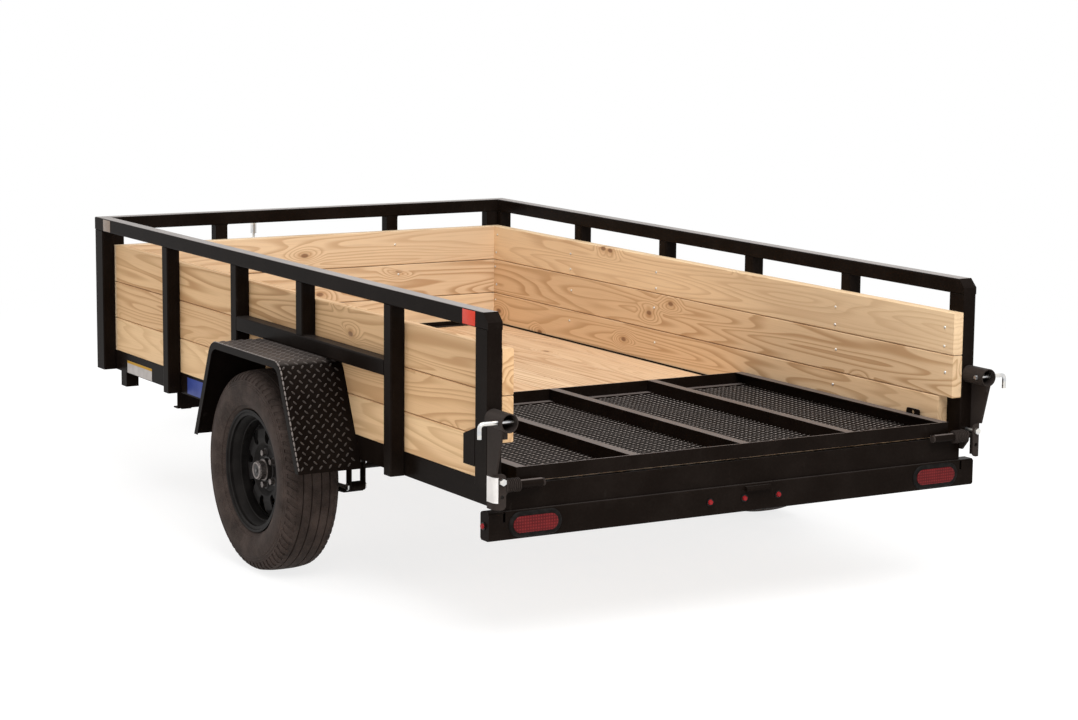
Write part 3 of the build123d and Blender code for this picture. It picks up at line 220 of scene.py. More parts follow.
def pine(name, grain, across, seed, painted_light_tint):
    """Planed yellow pine sawn along one axis. grain and across name the axes along the board and
    over its width; each board reads its own part of the pattern."""
    material, shader, point = finish_material(name, Specular_IOR_Level=0.3)
    parts = {axis: point.axis(axis) for axis in "XYZ"}
    width = parts[across]
    board = ((width - BOARD_START[across]) / BOARD_PITCH[across]).apply("FLOOR")
    jump, slip = board * 3.71 + seed, board * 0.37
    moves = {grain: jump, across: slip}
    shifted = point.node("CombineXYZ", {}, {i: part + moves[axis] if axis in moves else part
                                            for i, (axis, part) in enumerate(parts.items())})

    def along(pull):
        """A stretch that draws a pattern out along the grain."""
        return tuple(pull if axis == grain else 1.0 for axis in "XYZ")

    field = shifted.node("CombineXYZ", {}, {0: (parts[grain] + jump) * 0.5, 1: width + slip})
    knot = field.node("TexVoronoi", {"feature": "F1", "voronoi_dimensions": "2D"},
                      {"Vector": field, "Scale": KNOTS_PER_METRE, "Randomness": 1.0})
    chosen = shifted.noise(2.3, 0.0, stretch=along(0.6)).step(0.44, 0.48)
    pull, halo, heart = ((1 - knot.step(low, high)) * chosen
                         for low, high in ((0.0, 0.2), (0.035, 0.10), (0.020, 0.040)))
    wander = shifted.noise(2.4, 2.0, 0.5, stretch=along(0.2))
    rings = shifted.noise(8.5, 1.5, 0.4, stretch=along(0.07), distortion=0.35)
    late = (rings * 15.0 + wander * 6.0 + pull * 3.6).apply("FRACT")
    line = late.step(0.35, 0.88) * (1 - late.step(0.9, 0.995))
    strength = shifted.noise(1.5, 2.0, stretch=along(0.3)).step(0.36, 0.62)
    fibre = shifted.noise(240.0, 3.0, 0.6, stretch=along(0.02))
    streak = shifted.noise(36.0, 3.0, 0.6, stretch=along(0.03))
    tone = ((board * 12.9898 + seed).apply("SINE") * 43.75).apply("FRACT")
    colour = tone.blend(PALE_PINE, DEEP_PINE)
    for amount, over in ((wander.step(0.4, 0.66) * 0.5, AMBER_PINE),
                         (line * (0.26 + strength * 0.5), LATE_WOOD),
                         (streak.step(0.5, 0.75) * 0.22, STREAK_WOOD),
                         (fibre.step(0.45, 0.72) * 0.22, FIBRE_WOOD),
                         (halo * 0.4, KNOT_HALO), (heart * 0.8, KNOT_HEART)):
        colour = amount.blend(colour, over)
    # painted light and shade: the whole wall is scaled by its own tint for how light falls on it
    colour = colour.node("VectorMath", {"operation": "MULTIPLY"}, {0: colour, 1: painted_light_tint})
    if across == "X":
        # the plank ends under the ramp's hinge are painted dark: painted shade of the gap under
        # the ramp
        colour = (1 - parts["Y"].step(END_SHADE_FULL, END_SHADE_EDGE)).blend(colour, PLANK_END_SHADE)
    plug(shader, Base_Color=colour, Roughness=0.62 + line * 0.1 - heart * 0.2,
         Normal=point.bump(line * 0.5 + fibre * 0.5 - heart * 0.8, 0.3, 0.001))
    return material


def zinc_plate():
    """Bright zinc plate with faint blue and yellow passivation."""
    material, shader, point = finish_material("zinc_plate", Metallic=1.0)
    cloud = point.noise(38.0, 3.0)
    colour = cloud.step(0.35, 0.65).blend((0.60, 0.61, 0.63), (0.78, 0.75, 0.69))
    plug(shader, Base_Color=colour, Roughness=0.26 + cloud * 0.18,
         Normal=point.bump(point.noise(700.0, 2.0), 0.2, 0.0003))
    return material


def wheel_paint():
    """Satin charcoal paint on a pressed steel wheel."""
    material, shader, point = finish_material("wheel_paint", Specular_IOR_Level=0.09,
                                              Specular_Tint=WARM_SHEEN)
    cloud = point.noise(22.0, 4.0)
    colour = cloud.step(0.4, 0.75).blend((0.0072, 0.0064, 0.0061), (0.0135, 0.0120, 0.0113))
    plug(shader, Base_Color=colour, Roughness=0.44 + cloud * 0.16,
         Normal=point.bump(point.noise(380.0, 2.0), 0.25, 0.0005))
    return material


def aged_metal(point, washers=False):
    """Colour of dull zinc and its cloud, and how much of a point is darkened: the plug
    in the dust cap's end, the hub's neck behind the cap, and the washers if there are any."""
    out, along, up = (point.axis(axis) for axis in "XYZ")
    out = out.apply("ABSOLUTE")
    reach = point.node("CombineXYZ", {}, {0: 0.0, 1: along - AXLE_Y, 2: up - AXLE_Z}).length()
    recess = (1 - reach.step(*PLUG_EDGE)) * out.step(*PLUG_START)
    recess = recess * (1 - (1 - reach.step(*PLUG_CENTRE)) * 0.7)
    neck = (1 - reach.step(*NECK_EDGE)) * (1 - out.step(CAP_START - 0.001, CAP_START))
    dark = point.math("MAXIMUM", recess, neck)
    if washers:
        dark = point.math("MAXIMUM", dark, 1 - out.step(*WASHER_END))
    cloud = point.noise(60.0, 4.0)
    metal = cloud.step(0.35, 0.7).blend((0.15, 0.13, 0.122), (0.27, 0.236, 0.222))
    return dark.blend(metal, DARKENED_METAL), cloud, dark


def hub_finish(side_name):
    """Charcoal paint on the hub, and grey metal on the nuts and dust cap outside the disc."""
    material, shader, point = finish_material("hub_finish_" + side_name, Specular_IOR_Level=0.22)
    outside = point.axis("X").apply("ABSOLUTE").step(DISC_FACE - 0.0006, DISC_FACE + 0.0006)
    metal, cloud, dark = aged_metal(point)
    plug(shader, Base_Color=outside.blend((0.0105, 0.0095, 0.009), metal),
         Metallic=outside * (0.85 - dark * 0.7), Roughness=0.46 - outside * 0.1 + cloud * 0.12,
         Normal=point.bump(point.noise(500.0, 2.0), 0.25, 0.0004))
    return material


def aged_zinc():
    """Dull grey-brown zinc of the dust caps' ribs, and the dark washers under the nuts."""
    material, shader, point = finish_material("aged_zinc")
    metal, cloud, dark = aged_metal(point, washers=True)
    plug(shader, Base_Color=metal, Metallic=0.85 - dark * 0.7, Roughness=0.38 + cloud * 0.14,
         Normal=point.bump(point.noise(500.0, 2.0), 0.25, 0.0004))
    return material


def tyre_rubber():
    """Brown-grey tyre rubber, dusty in clouds and smears."""
    material, shader, point = finish_material("tyre_rubber", Specular_IOR_Level=0.1,
                                              Specular_Tint=(1.0, 0.92, 0.87, 1.0))
    cloud = point.noise(14.0, 5.0, 0.62)
    grit = point.noise(330.0, 3.0, 0.7)
    smear = point.noise(60.0, 3.0, 0.6)
    colour = (cloud * 0.6 + grit * 0.4).step(0.34, 0.68)
    colour = colour.blend((0.0235, 0.0168, 0.0143), (0.074, 0.0545, 0.0472))
    colour = (smear.step(0.5, 0.8) * 0.3).blend(colour, (0.07, 0.06, 0.054))
    plug(shader, Base_Color=colour, Roughness=0.6 + cloud * 0.24,
         Normal=point.bump(grit, 0.3, 0.0005))
    return material


def soft_rubber():
    """Black moulded rubber of the lamp grommets."""
    material, shader, point = finish_material("soft_rubber", Specular_IOR_Level=0.07)
    cloud = point.noise(60.0, 3.0)
    colour = cloud.step(0.4, 0.7).blend((0.0055, 0.0048, 0.0044), (0.012, 0.0105, 0.0098))
    plug(shader, Base_Color=colour, Roughness=0.5 + cloud * 0.2,
         Normal=point.bump(point.noise(500.0, 2.0), 0.3, 0.0004))
    return material


def lens(name, deep, bright, flutes=34.0, collar=False):
    """A moulded lamp lens: fluted inside, smooth outside, in a black collar if it has one."""
    material, shader, point = finish_material(name, Coat_Roughness=0.06, Specular_IOR_Level=0.08)
    flute, row = (point.node("TexWave", {"wave_type": "BANDS", "bands_direction": axis},
                             {"Vector": point, "Scale": flutes, **more})
                  for axis, more in (("X", {"Distortion": 0.4, "Detail": 1.0}),
                                     ("Z", {"Distortion": 0.0})))
    grid = flute * row * 0.5 + point.noise(26.0, 3.0) * 0.5
    colour = grid.step(0.15, 0.7).blend(deep, bright)
    if collar:
        behind, beside = (place.step(face + COLLAR + 0.0003, face + COLLAR + 0.0008)
                          for place, face in ((-1 * point.axis("Y"), BUMPER_REAR),
                                              (point.axis("X").apply("ABSOLUTE"), BUMPER_END)))
        colour = point.math("MAXIMUM", behind, beside).blend((0.008, 0.007, 0.0066), colour)
    plug(shader, Base_Color=colour, Roughness=0.18 + grid * 0.12, Coat_Weight=0.10 - grid * 0.04,
         Normal=point.bump(flute * row, 0.25, 0.001))
    return material


def reflector_tape(name, deep, bright):
    """Self-stick reflector tape with small diamond cells."""
    material, shader, point = finish_material(name, Coat_Roughness=0.2, Specular_IOR_Level=0.15)
    slanted = point.node("Mapping", {}, {0: point, 2: (math.radians(45), 0.0, 0.0)})
    cell = slanted.node("TexVoronoi", {"feature": "F1", "distance": "CHEBYCHEV"},
                        {"Vector": slanted, "Scale": 240.0, "Randomness": 0.0})
    cloud = point.noise(40.0, 3.0)
    colour = (cell.step(0.2, 0.5) * 0.6 + cloud * 0.4).blend(bright, deep)
    plug(shader, Base_Color=colour, Roughness=0.34 + cloud * 0.1, Coat_Weight=0.08 + cloud * 0.04,
         Normal=point.bump(cell, 0.3, 0.0004))
    return material


def label_paper(name, ground, stripe=None, band=(0.0, 0.0)):
    """Plain printed film of one ground colour, with one coloured stripe across a band of Z."""
    material, shader, point = finish_material(name, Specular_IOR_Level=0.2)
    cloud = point.noise(26.0, 4.0)
    colour = cloud.step(0.35, 0.8).blend(ground, [c * 0.82 for c in ground])
    if stripe:
        above, below = (point.axis("Z").step(z - 0.0004, z + 0.0004) for z in band)
        colour = (above * (1 - below)).blend(colour, stripe)
    plug(shader, Base_Color=colour, Roughness=0.4 + cloud * 0.2)
    return material


black = powder_coat()
# the ramp frame's upward faces are paler: dust and a painted highlight
ramp_black = powder_coat("ramp_coat", dust_and_sheen_on_top=(0.155, 0.13, 0.12))
# the top rail's upward faces are much paler: a painted highlight of light glancing off its top,
# over thin dust
rail_black = powder_coat("rail_coat", dust_and_sheen_on_top=(0.33, 0.303, 0.29))
# a lighter black for the hinge hardware and springs: a painted highlight where they catch the
# light
painted_highlight_black = powder_coat("worn_coat", (0.030, 0.0235, 0.0208), 0.02)
plate_black = powder_coat("tread_plate_coat", (0.0060, 0.0040, 0.0031), 0.008,
                          (0.064, 0.053, 0.048), 0.022)
# the tread bars are a paler black than their plate: a painted highlight on the raised bars
bar_black = powder_coat("tread_bar_coat", (0.040, 0.033, 0.0295), 0.03, (0.20, 0.174, 0.160), 0.3)
# the bars over the fender's lip are pale grey: a painted highlight along the lip's bend
lip_black = powder_coat("tread_lip_coat", (0.15, 0.130, 0.121), 0.06, (0.26, 0.235, 0.222), 0.4)
mesh_black = mesh_coat()
zinc = zinc_plate()
cap_metal = aged_zinc()
wheel_black = wheel_paint()
rubber = tyre_rubber()
red_lens = lens("red_lens", (0.075, 0.005, 0.006), (0.165, 0.013, 0.014))
marker_lens = lens("marker_lens", (0.16, 0.006, 0.008), (0.38, 0.022, 0.026), 120.0, collar=True)
red_tape = reflector_tape("red_tape", (0.50, 0.022, 0.010), (0.78, 0.065, 0.026))
amber_tape = reflector_tape("amber_tape", (0.20, 0.155, 0.13), (0.36, 0.28, 0.22))

# every other node is powder coated
# each pine wall is scaled by its own painted light and shade: the floor darker, the right side and
# front lighter, the left side warmer
BY_NODE = {"side_boards_left": pine("pine_side_left", "Y", "Z", 0.0, (1.0, 0.96, 0.86)),
           "side_boards_right": pine("pine_side_right", "Y", "Z", 17.0, (1.04, 1.09, 1.10)),
           "front_boards": pine("pine_front", "X", "Z", 31.0, (1.0, 1.09, 1.17)),
           "floor_planks": pine("pine_floor", "Y", "X", 47.0, (0.87, 0.86, 0.86)),
           "wheel_left": wheel_black, "wheel_right": wheel_black,
           "hub_left": hub_finish("left"), "hub_right": hub_finish("right"),
           "tyre_left": rubber, "tyre_right": rubber,
           "fender_left": plate_black, "fender_right": plate_black,
           "lamp_grommets": soft_rubber(), "tail_lamps": red_lens, "marker_lamps": marker_lens,
           "gate_frame": ramp_black, "top_rail": rail_black, "hinge_brackets": painted_highlight_black,
           "latch_arms": painted_highlight_black, "assist_springs": painted_highlight_black, "hinge_pins": painted_highlight_black,
           "latch_pins": zinc, "spring_bolts": zinc, "u_bolts": zinc, "bracket_bolts": zinc,
           "coupler_latch": zinc, "jack_leg": zinc, "jack_crank": zinc, "jack_tube": zinc}
for name, piece in nodes.items():
    for place in piece.material_slots:
        place.material = BY_NODE.get(name, black)


# ---- modelling
def select_only(*chosen):
    """Select these objects alone, the last one active."""
    if bpy.context.object and bpy.context.object.mode != "OBJECT":
        bpy.ops.object.mode_set(mode="OBJECT")
    bpy.ops.object.select_all(action="DESELECT")
    for one in chosen:
        one.select_set(True)
        bpy.context.view_layer.objects.active = one


def primitive(kind, **settings):
    """A new primitive with its place in its mesh, alone in the selection."""
    select_only()
    getattr(bpy.ops.mesh, "primitive_" + kind + "_add")(**settings)
    made = bpy.context.object
    bpy.ops.object.transform_apply(location=True, rotation=True, scale=True)
    return made


def edit(piece, mode="FACE"):
    """Enter edit mode on this piece alone, all of it selected."""
    select_only(piece)
    bpy.ops.object.mode_set(mode="EDIT")
    bpy.ops.mesh.select_mode(type=mode)
    bpy.ops.mesh.select_all(action="SELECT")


def leave():
    """Go back to object mode."""
    bpy.ops.object.mode_set(mode="OBJECT")


def pick(piece, test, points=False):
    """Select the faces whose centre and normal pass the test, or the points whose place passes
    it, in edit mode."""
    leave()
    mesh = piece.data
    for parts in (mesh.vertices, mesh.edges, mesh.polygons):
        parts.foreach_set("select", [False] * len(parts))
    if points:
        for point in mesh.vertices:
            point.select = test(point.co)
    else:
        for face in mesh.polygons:
            face.select = test(face.center, face.normal)
    bpy.ops.object.mode_set(mode="EDIT")


def extrude(move):
    """Extrude what is selected, in edit mode."""
    bpy.ops.mesh.extrude_region_move(TRANSFORM_OT_translate={"value": move})


def settle(piece):
    """Merge the doubles and turn the faces outwards."""
    edit(piece, "VERT")
    bpy.ops.mesh.remove_doubles(threshold=0.00002)
    bpy.ops.mesh.normals_make_consistent(inside=False)
    leave()


def modify(piece, kind, **settings):
    """Add a modifier and apply it."""
    select_only(piece)
    added = piece.modifiers.new(kind.lower(), kind)
    for name, value in settings.items():
        setattr(added, name, value)
    bpy.ops.object.modifier_apply(modifier=added.name)


def repeat(piece, count, offset, **settings):
    """Repeat a piece's mesh at a constant offset."""
    modify(piece, "ARRAY", count=count, use_relative_offset=False, use_constant_offset=True,
           constant_offset_displace=offset, **settings)


def finish(piece, name, material, body, smooth=35):
    """Name a piece, give it its finish and let it ride on its body."""
    select_only(piece)
    bpy.ops.object.shade_smooth_by_angle(angle=math.radians(smooth))
    piece.name = piece.data.name = name
    piece.data.materials.clear()
    piece.data.materials.append(material)
    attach(piece, body)
    return piece


def copies(master, places):
    """A copy of the master's mesh at each place, joined into one piece; the master goes."""
    made = []
    for place in places:
        twin = bpy.data.objects.new("copy", master.data.copy())
        twin.data.transform(place)
        scene.collection.objects.link(twin)
        made.append(twin)
    bpy.data.objects.remove(master)
    select_only(*made)
    bpy.ops.object.join()
    return bpy.context.object


def facing(place, normal, along):
    """The move that takes a shape from the origin to a place: its Z to normal, its X to along."""
    z = Vector(normal).normalized()
    x = (Vector(along) - Vector(along).dot(z) * z).normalized()
    turn = Matrix((x, z.cross(x), z)).transposed().to_4x4()
    return Matrix.Translation(place) @ turn


def drawn_line(track):
    """One point extruded from place to place along a track, all of it selected in edit mode."""
    line = primitive("plane", size=0.001, location=track[0])
    edit(line, "VERT")
    bpy.ops.mesh.merge(type="CENTER")
    for here, there in zip(track, track[1:]):
        bpy.ops.mesh.extrude_vertices_move(TRANSFORM_OT_translate={"value": there - here})
    bpy.ops.mesh.select_all(action="SELECT")
    return line


def turned(rows, steps, centre):
    """A closed ring about an axle along X: a profile, given as place along the axle, radius and
    the angle by which it leads, is drawn and spun."""
    track = [Vector((x, centre[1] + radius * math.sin(lead), centre[2] + radius * math.cos(lead)))
             for x, radius, lead in rows]
    ring = drawn_line(track + track[:1])
    bpy.ops.mesh.spin(steps=steps, angle=2 * math.pi, center=centre, axis=(1, 0, 0))
    settle(ring)
    return ring


def slab(size, centre=(0, 0, 0)):
    """A rectangular slab about its centre, to be eased or cut."""
    made = primitive("cube", size=1.0)
    edit(made)
    bpy.ops.transform.resize(value=size)
    bpy.ops.transform.translate(value=centre)
    leave()
    return made


# ---- tyres
TYRE_PITCHES = 72
# half of the section: from the middle plane, radius, lead in sixths of a pitch
TYRE_HALF = (
    (0.0707, 0.1916, 0), (0.0707, 0.2060, 0), (0.0768, 0.2110, 0), (0.0850, 0.2175, 0),
    (0.0868, 0.2212, 0), (0.0905, 0.2228, 0), (0.0928, 0.2290, 0), (0.0962, 0.2400, 0),
    (0.0985, 0.2500, 0), (0.1003, 0.2600, 0), (0.1006, 0.2720, 0), (0.0998, 0.2820, 0),
    (0.0986, 0.2895, 0), (0.0992, 0.2909, 0), (0.0983, 0.2925, 0), (0.0969, 0.2935, 0),
    (0.0958, 0.2985, 0), (0.0965, 0.3000, 0), (0.0954, 0.3016, 0), (0.0939, 0.3025, 0),
    (0.0926, 0.3075, 0), (0.0933, 0.3090, 0), (0.0915, 0.3125, 0), (0.0868, 0.3210, 1),
    (0.0815, 0.3275, 2), (0.0745, 0.3325, 3), (0.0705, 0.3345, 3.5), (0.0660, 0.3355, 4),
    (0.0505, 0.3378, 6), (0.0492, 0.3325, 6), (0.0468, 0.3325, 6), (0.0455, 0.3384, 6),
    (0.0300, 0.3395, 4), (0.0195, 0.3398, 3), (0.0182, 0.3342, 3), (0.0160, 0.3342, 3),
    (0.0147, 0.3400, 3), (0.0070, 0.3400, 4))
SHOULDER_ROWS = TYRE_HALF[21:28]
SHOULDER_LEAD = 3.5                         # lead of a face that no two rows enclose
MIRROR_LEAD = 10                            # leads of the two halves add up to this
# the ribs lie beyond this radius, and the shoulder is between the next two
RIB_BASE, SHOULDER_LOW, SHOULDER_HIGH = 0.3362, 0.3095, 0.3358
SHOULDER_EDGE = 0.0655                      # where the ribs end, from the middle plane
LUG_WALL, LUG_DEPTH = 0.0012, 0.0032
SIPE_HALF = 0.0007


def tyre(side_name, side):
    """A radial tyre: ridged sidewalls, shoulder lugs and five ribs cut by fine slanted sipes."""
    pitch = 2 * math.pi / TYRE_PITCHES
    sixth = pitch / 6
    centre_x = side * TYRE_MIDDLE
    outer = [(centre_x + x, radius, lead * sixth) for x, radius, lead in TYRE_HALF]
    inner = [(centre_x - x, radius, (MIRROR_LEAD - lead) * sixth)
             for x, radius, lead in reversed(TYRE_HALF)]
    ring = turned(outer + inner, 2 * TYRE_PITCHES, (centre_x, AXLE_Y, AXLE_Z))

    def reach(place):
        """Radius of a place."""
        return math.hypot(place.y - AXLE_Y, place.z - AXLE_Z)

    def on_rib(centre, normal):
        """Faces of the five ribs, each of which shrinks away from its sipes."""
        return reach(centre) > RIB_BASE and abs(centre.x - centre_x) < SHOULDER_EDGE

    def between_lugs(centre, normal):
        """Every other column of the shoulder, counted along the leads of its rows."""
        off = abs(centre.x - centre_x)
        if off <= SHOULDER_EDGE or not SHOULDER_LOW < reach(centre) < SHOULDER_HIGH:
            return False
        lead = SHOULDER_LEAD
        for (wide, _, lead_wide), (slim, _, lead_slim) in zip(SHOULDER_ROWS, SHOULDER_ROWS[1:]):
            if slim <= off <= wide:
                lead = (lead_wide + lead_slim) / 2
        if centre.x < centre_x:
            lead = MIRROR_LEAD - lead
        angle = math.atan2(centre.y - AXLE_Y, centre.z - AXLE_Z) - lead * sixth
        return (angle / pitch) % 1.0 > 0.5

    edit(ring)
    pick(ring, on_rib)
    bpy.ops.mesh.inset(use_individual=True, thickness=SIPE_HALF, depth=0)
    pick(ring, between_lugs)
    bpy.ops.mesh.inset(use_individual=False, thickness=LUG_WALL, depth=-LUG_DEPTH)
    settle(ring)
    finish(ring, "tyre_" + side_name + "_road", rubber, "wheel_" + side_name, 28)
    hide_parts("tyre_" + side_name)


for side_name, side in SIDES:
    tyre(side_name, side)


# ---- rims and dust caps
# smooth face of the rim from the disc out to its flange: from the middle plane, radius
BARREL_FACE = ((0.0085, 0.1692), (0.0300, 0.1696), (0.0420, 0.1724), (0.0530, 0.1776),
               (0.0630, 0.1846), (0.0705, 0.1918), (0.0765, 0.1974), (0.0809, 0.2002))
BARREL_WALL = 0.0006
CAP_RADIUS, CAP_REACH = 0.031, 0.048
CAP_RIBS = 22
RIB_SIZE, RIB_MIDDLE, RIB_SINK = (0.020, 0.0046, 0.0032), 0.034, 0.0004
STUD_CIRCLE, STUDS = 0.05715, 5
# closed profiles, from the hub's face outwards: place along the axle, radius
CAP_END = ((CAP_REACH - 0.003, 0.0150), (CAP_REACH - 0.003, 0.0300), (CAP_REACH + 0.0012, 0.0285),
           (CAP_REACH + 0.0022, 0.0262), (CAP_REACH + 0.0018, 0.0240),
           (CAP_REACH - 0.0008, 0.0225), (CAP_REACH - 0.0008, 0.0150))
CAP_PLUG = ((CAP_REACH - 0.003, 0.0002), (CAP_REACH - 0.003, 0.0095), (CAP_REACH + 0.0015, 0.0092),
            (CAP_REACH + 0.0026, 0.0078), (CAP_REACH + 0.0028, 0.0002))
CAP_SKIRT = ((0.0035, 0.0390), (0.0035, 0.0440), (0.0062, 0.0436), (0.0072, 0.0416),
             (0.0072, 0.0390))
WASHER = ((0.0034, 0.0060), (0.0034, 0.0158), (0.0050, 0.0156), (0.0058, 0.0146),
          (0.0058, 0.0060))


def rim_barrel(side_name, side):
    """The rim's outer barrel, one smooth cone with a rolled edge."""
    rows = [(side * (TYRE_MIDDLE + x), radius, 0) for x, radius in BARREL_FACE]
    rows += [(side * (TYRE_MIDDLE + x - BARREL_WALL), radius + BARREL_WALL, 0)
             for x, radius in reversed(BARREL_FACE)]
    ring = turned(rows, 96, (side * TYRE_MIDDLE, AXLE_Y, AXLE_Z))
    finish(ring, "rim_barrel_" + side_name, wheel_black, "wheel_" + side_name, 40)


def cap_rib():
    """One rib of the dust cap, its outer end eased, lying along X on Z's side of the axle."""
    rib = slab(RIB_SIZE, (RIB_MIDDLE, 0, CAP_RADIUS - RIB_SINK))
    edit(rib)
    pick(rib, lambda centre, normal: normal.z > 0.9)
    bpy.ops.transform.resize(value=(0.86, 0.7, 1))
    leave()
    return rib


def dust_cap(side_name, side):
    """Ribs round the dust cap, a raised rim and a plug on its end, and a washer under each nut."""
    axle = Matrix.Translation((side * HUB_FACE, AXLE_Y, AXLE_Z)) @ (
        Matrix.Identity(4) if side > 0 else Matrix.Rotation(math.pi, 4, "Z"))
    ribs = copies(cap_rib(), [axle @ Matrix.Rotation(2 * math.pi * k / CAP_RIBS, 4, "X")
                              for k in range(CAP_RIBS)])

    def plate(rows, steps, along=0.0, up=0.0):
        """A ring of this profile, off the axle by so much."""
        return turned([(side * (HUB_FACE + x), radius, 0) for x, radius in rows], steps,
                      (side * HUB_FACE, AXLE_Y + along, AXLE_Z + up))

    rings = [plate(CAP_END, 44), plate(CAP_PLUG, 24), plate(CAP_SKIRT, 48)]
    for k in range(STUDS):
        # studs stand where the hub's do: the first one is level with the axle
        angle = 2 * math.pi * k / STUDS
        rings.append(plate(WASHER, 24, STUD_CIRCLE * math.cos(angle),
                           STUD_CIRCLE * math.sin(angle)))
    select_only(*rings, ribs)
    bpy.ops.object.join()
    settle(ribs)
    finish(ribs, "dust_cap_" + side_name, cap_metal, "wheel_" + side_name, 35)


for side_name, side in SIDES:
    rim_barrel(side_name, side)
    dust_cap(side_name, side)


# ---- fender tread plate
FENDER_INNER, FENDER_OUTER = 0.8705, 1.0992
FENDER_TOP, FENDER_FOOT = 0.7492, 0.402
FENDER_TOP_HALF, FENDER_FOOT_HALF, FENDER_BEND = 0.273, 0.420, 0.065
BAR_PITCH, BAR_COLUMNS = 0.034, 7
BAR_SIZE, BAR_LEAN = (0.0088, 0.0034), (0.72, 0.7)
BAR_SINK = 0.0002                           # how deep a bar is sunk in its plate
# margins of the bars: at the fender's outer edge, at its inner one and at its feet
OUTER_MARGIN, INNER_MARGIN, FOOT_MARGIN = 0.016, 0.012, 0.014
LIP_INSET = 0.0038
# the bars pressed over the lip are long and short by turns: scales of the tread bar
LIP_LONG, LIP_SHORT = (1.08, 1.0, 1.35, 1.0), (0.76, 0.85, 1.2, 1.0)


def tread_bar():
    """One raised lozenge of the tread plate, flat underneath, lying along X."""
    bar = primitive("circle", vertices=8, radius=1.0, fill_type="NGON")
    edit(bar)
    bpy.ops.transform.resize(value=(*BAR_SIZE, 1))
    for rise, scale in ((0.0017, (0.86, 0.5, 1)), (0.0003, (0.8, 0.3, 1))):
        extrude((0, 0, rise))
        bpy.ops.transform.resize(value=scale)
    settle(bar)
    return bar


def fender_path():
    """Places along the fender's outer face in the YZ plane, from the rear foot to the front one,
    with the way along it and the outward normal: a function of the run, and the whole run."""
    corners = [Vector((AXLE_Y + y, z)) for y, z in (
        (-FENDER_FOOT_HALF, FENDER_FOOT), (-FENDER_TOP_HALF, FENDER_TOP),
        (FENDER_TOP_HALF, FENDER_TOP), (FENDER_FOOT_HALF, FENDER_FOOT))]
    spans = []
    here = corners[0]
    for before, corner, after in zip(corners, corners[1:], corners[2:]):
        come, go = (corner - before).normalized(), (after - corner).normalized()
        half_turn = come.angle(go) / 2
        trim = FENDER_BEND * math.tan(half_turn)
        bend_start = corner - come * trim
        centre = bend_start + Vector((come.y, -come.x)) * FENDER_BEND
        spans.append(("line", here, bend_start))
        spans.append(("arc", centre, bend_start, 2 * half_turn))
        here = corner + go * trim
    spans.append(("line", here, corners[-1]))

    def length(span):
        """How long a straight or a bend is."""
        return (span[2] - span[1]).length if span[0] == "line" else span[3] * FENDER_BEND

    def at(run):
        """Place, way and normal at this run from the rear foot."""
        for span in spans:
            if run <= length(span) or span is spans[-1]:
                if span[0] == "line":
                    way = (span[2] - span[1]).normalized()
                    place = span[1] + way * run
                else:
                    turn = run / FENDER_BEND
                    spoke = span[2] - span[1]
                    spoke = Vector((spoke.x * math.cos(turn) + spoke.y * math.sin(turn),
                                    spoke.y * math.cos(turn) - spoke.x * math.sin(turn)))
                    place = span[1] + spoke
                    way = Vector((spoke.y, -spoke.x)).normalized()
                return place, way, Vector((-way.y, way.x))
            run -= length(span)

    return at, sum(length(span) for span in spans)


def tread_plate(side_name, side):
    """Bars that lean both ways by turns over the fender's top and legs, and bars along its lip."""
    at, whole = fender_path()
    flat, lip = [], []
    for row in range(int((whole - FOOT_MARGIN) / BAR_PITCH * 2)):
        place, way, normal = at(BAR_PITCH * (0.5 + row / 2))
        odd = row % 2
        lean = 1 if odd else -1
        out = Vector((0, normal.x, normal.y))

        def seat(x):
            """Where a bar sits in this row."""
            return Vector((side * x, place.x, place.y)) - out * BAR_SINK

        for column in range(BAR_COLUMNS):
            inset = OUTER_MARGIN + BAR_PITCH * (column + (0.5 if odd else 0.0))
            if inset < FENDER_OUTER - FENDER_INNER - INNER_MARGIN:
                flat.append(facing(seat(FENDER_OUTER - inset), out,
                                   (side * BAR_LEAN[0], lean * way.x * BAR_LEAN[1],
                                    lean * way.y * BAR_LEAN[1])))
        # a bar over the lip in each row; their pale coat is a painted highlight along the bend
        lip.append(facing(seat(FENDER_OUTER - LIP_INSET), out, (0, way.x, way.y))
                   @ Matrix.Diagonal(LIP_LONG if odd else LIP_SHORT))
    for name, places, material in (("tread_bars_", flat, bar_black),
                                   ("tread_lip_", lip, lip_black)):
        bars = copies(tread_bar(), places)
        settle(bars)
        finish(bars, name + side_name, material, "frame", 25)


for side_name, side in SIDES:
    tread_plate(side_name, side)


# ---- ramp mesh
MESH_HALF_X, MESH_REAR, MESH_FRONT = 0.8199, -2.1080, -0.9417
CELL_LONG, CELL_SHORT = 0.0508, 0.0234
STRAND_WIDTH, STRAND_THICK = 0.0017, 0.0013
# how far the edges of the tilted strands lie below and above their bonds
STRAND_DROP, STRAND_RISE = 0.0008, 0.0034


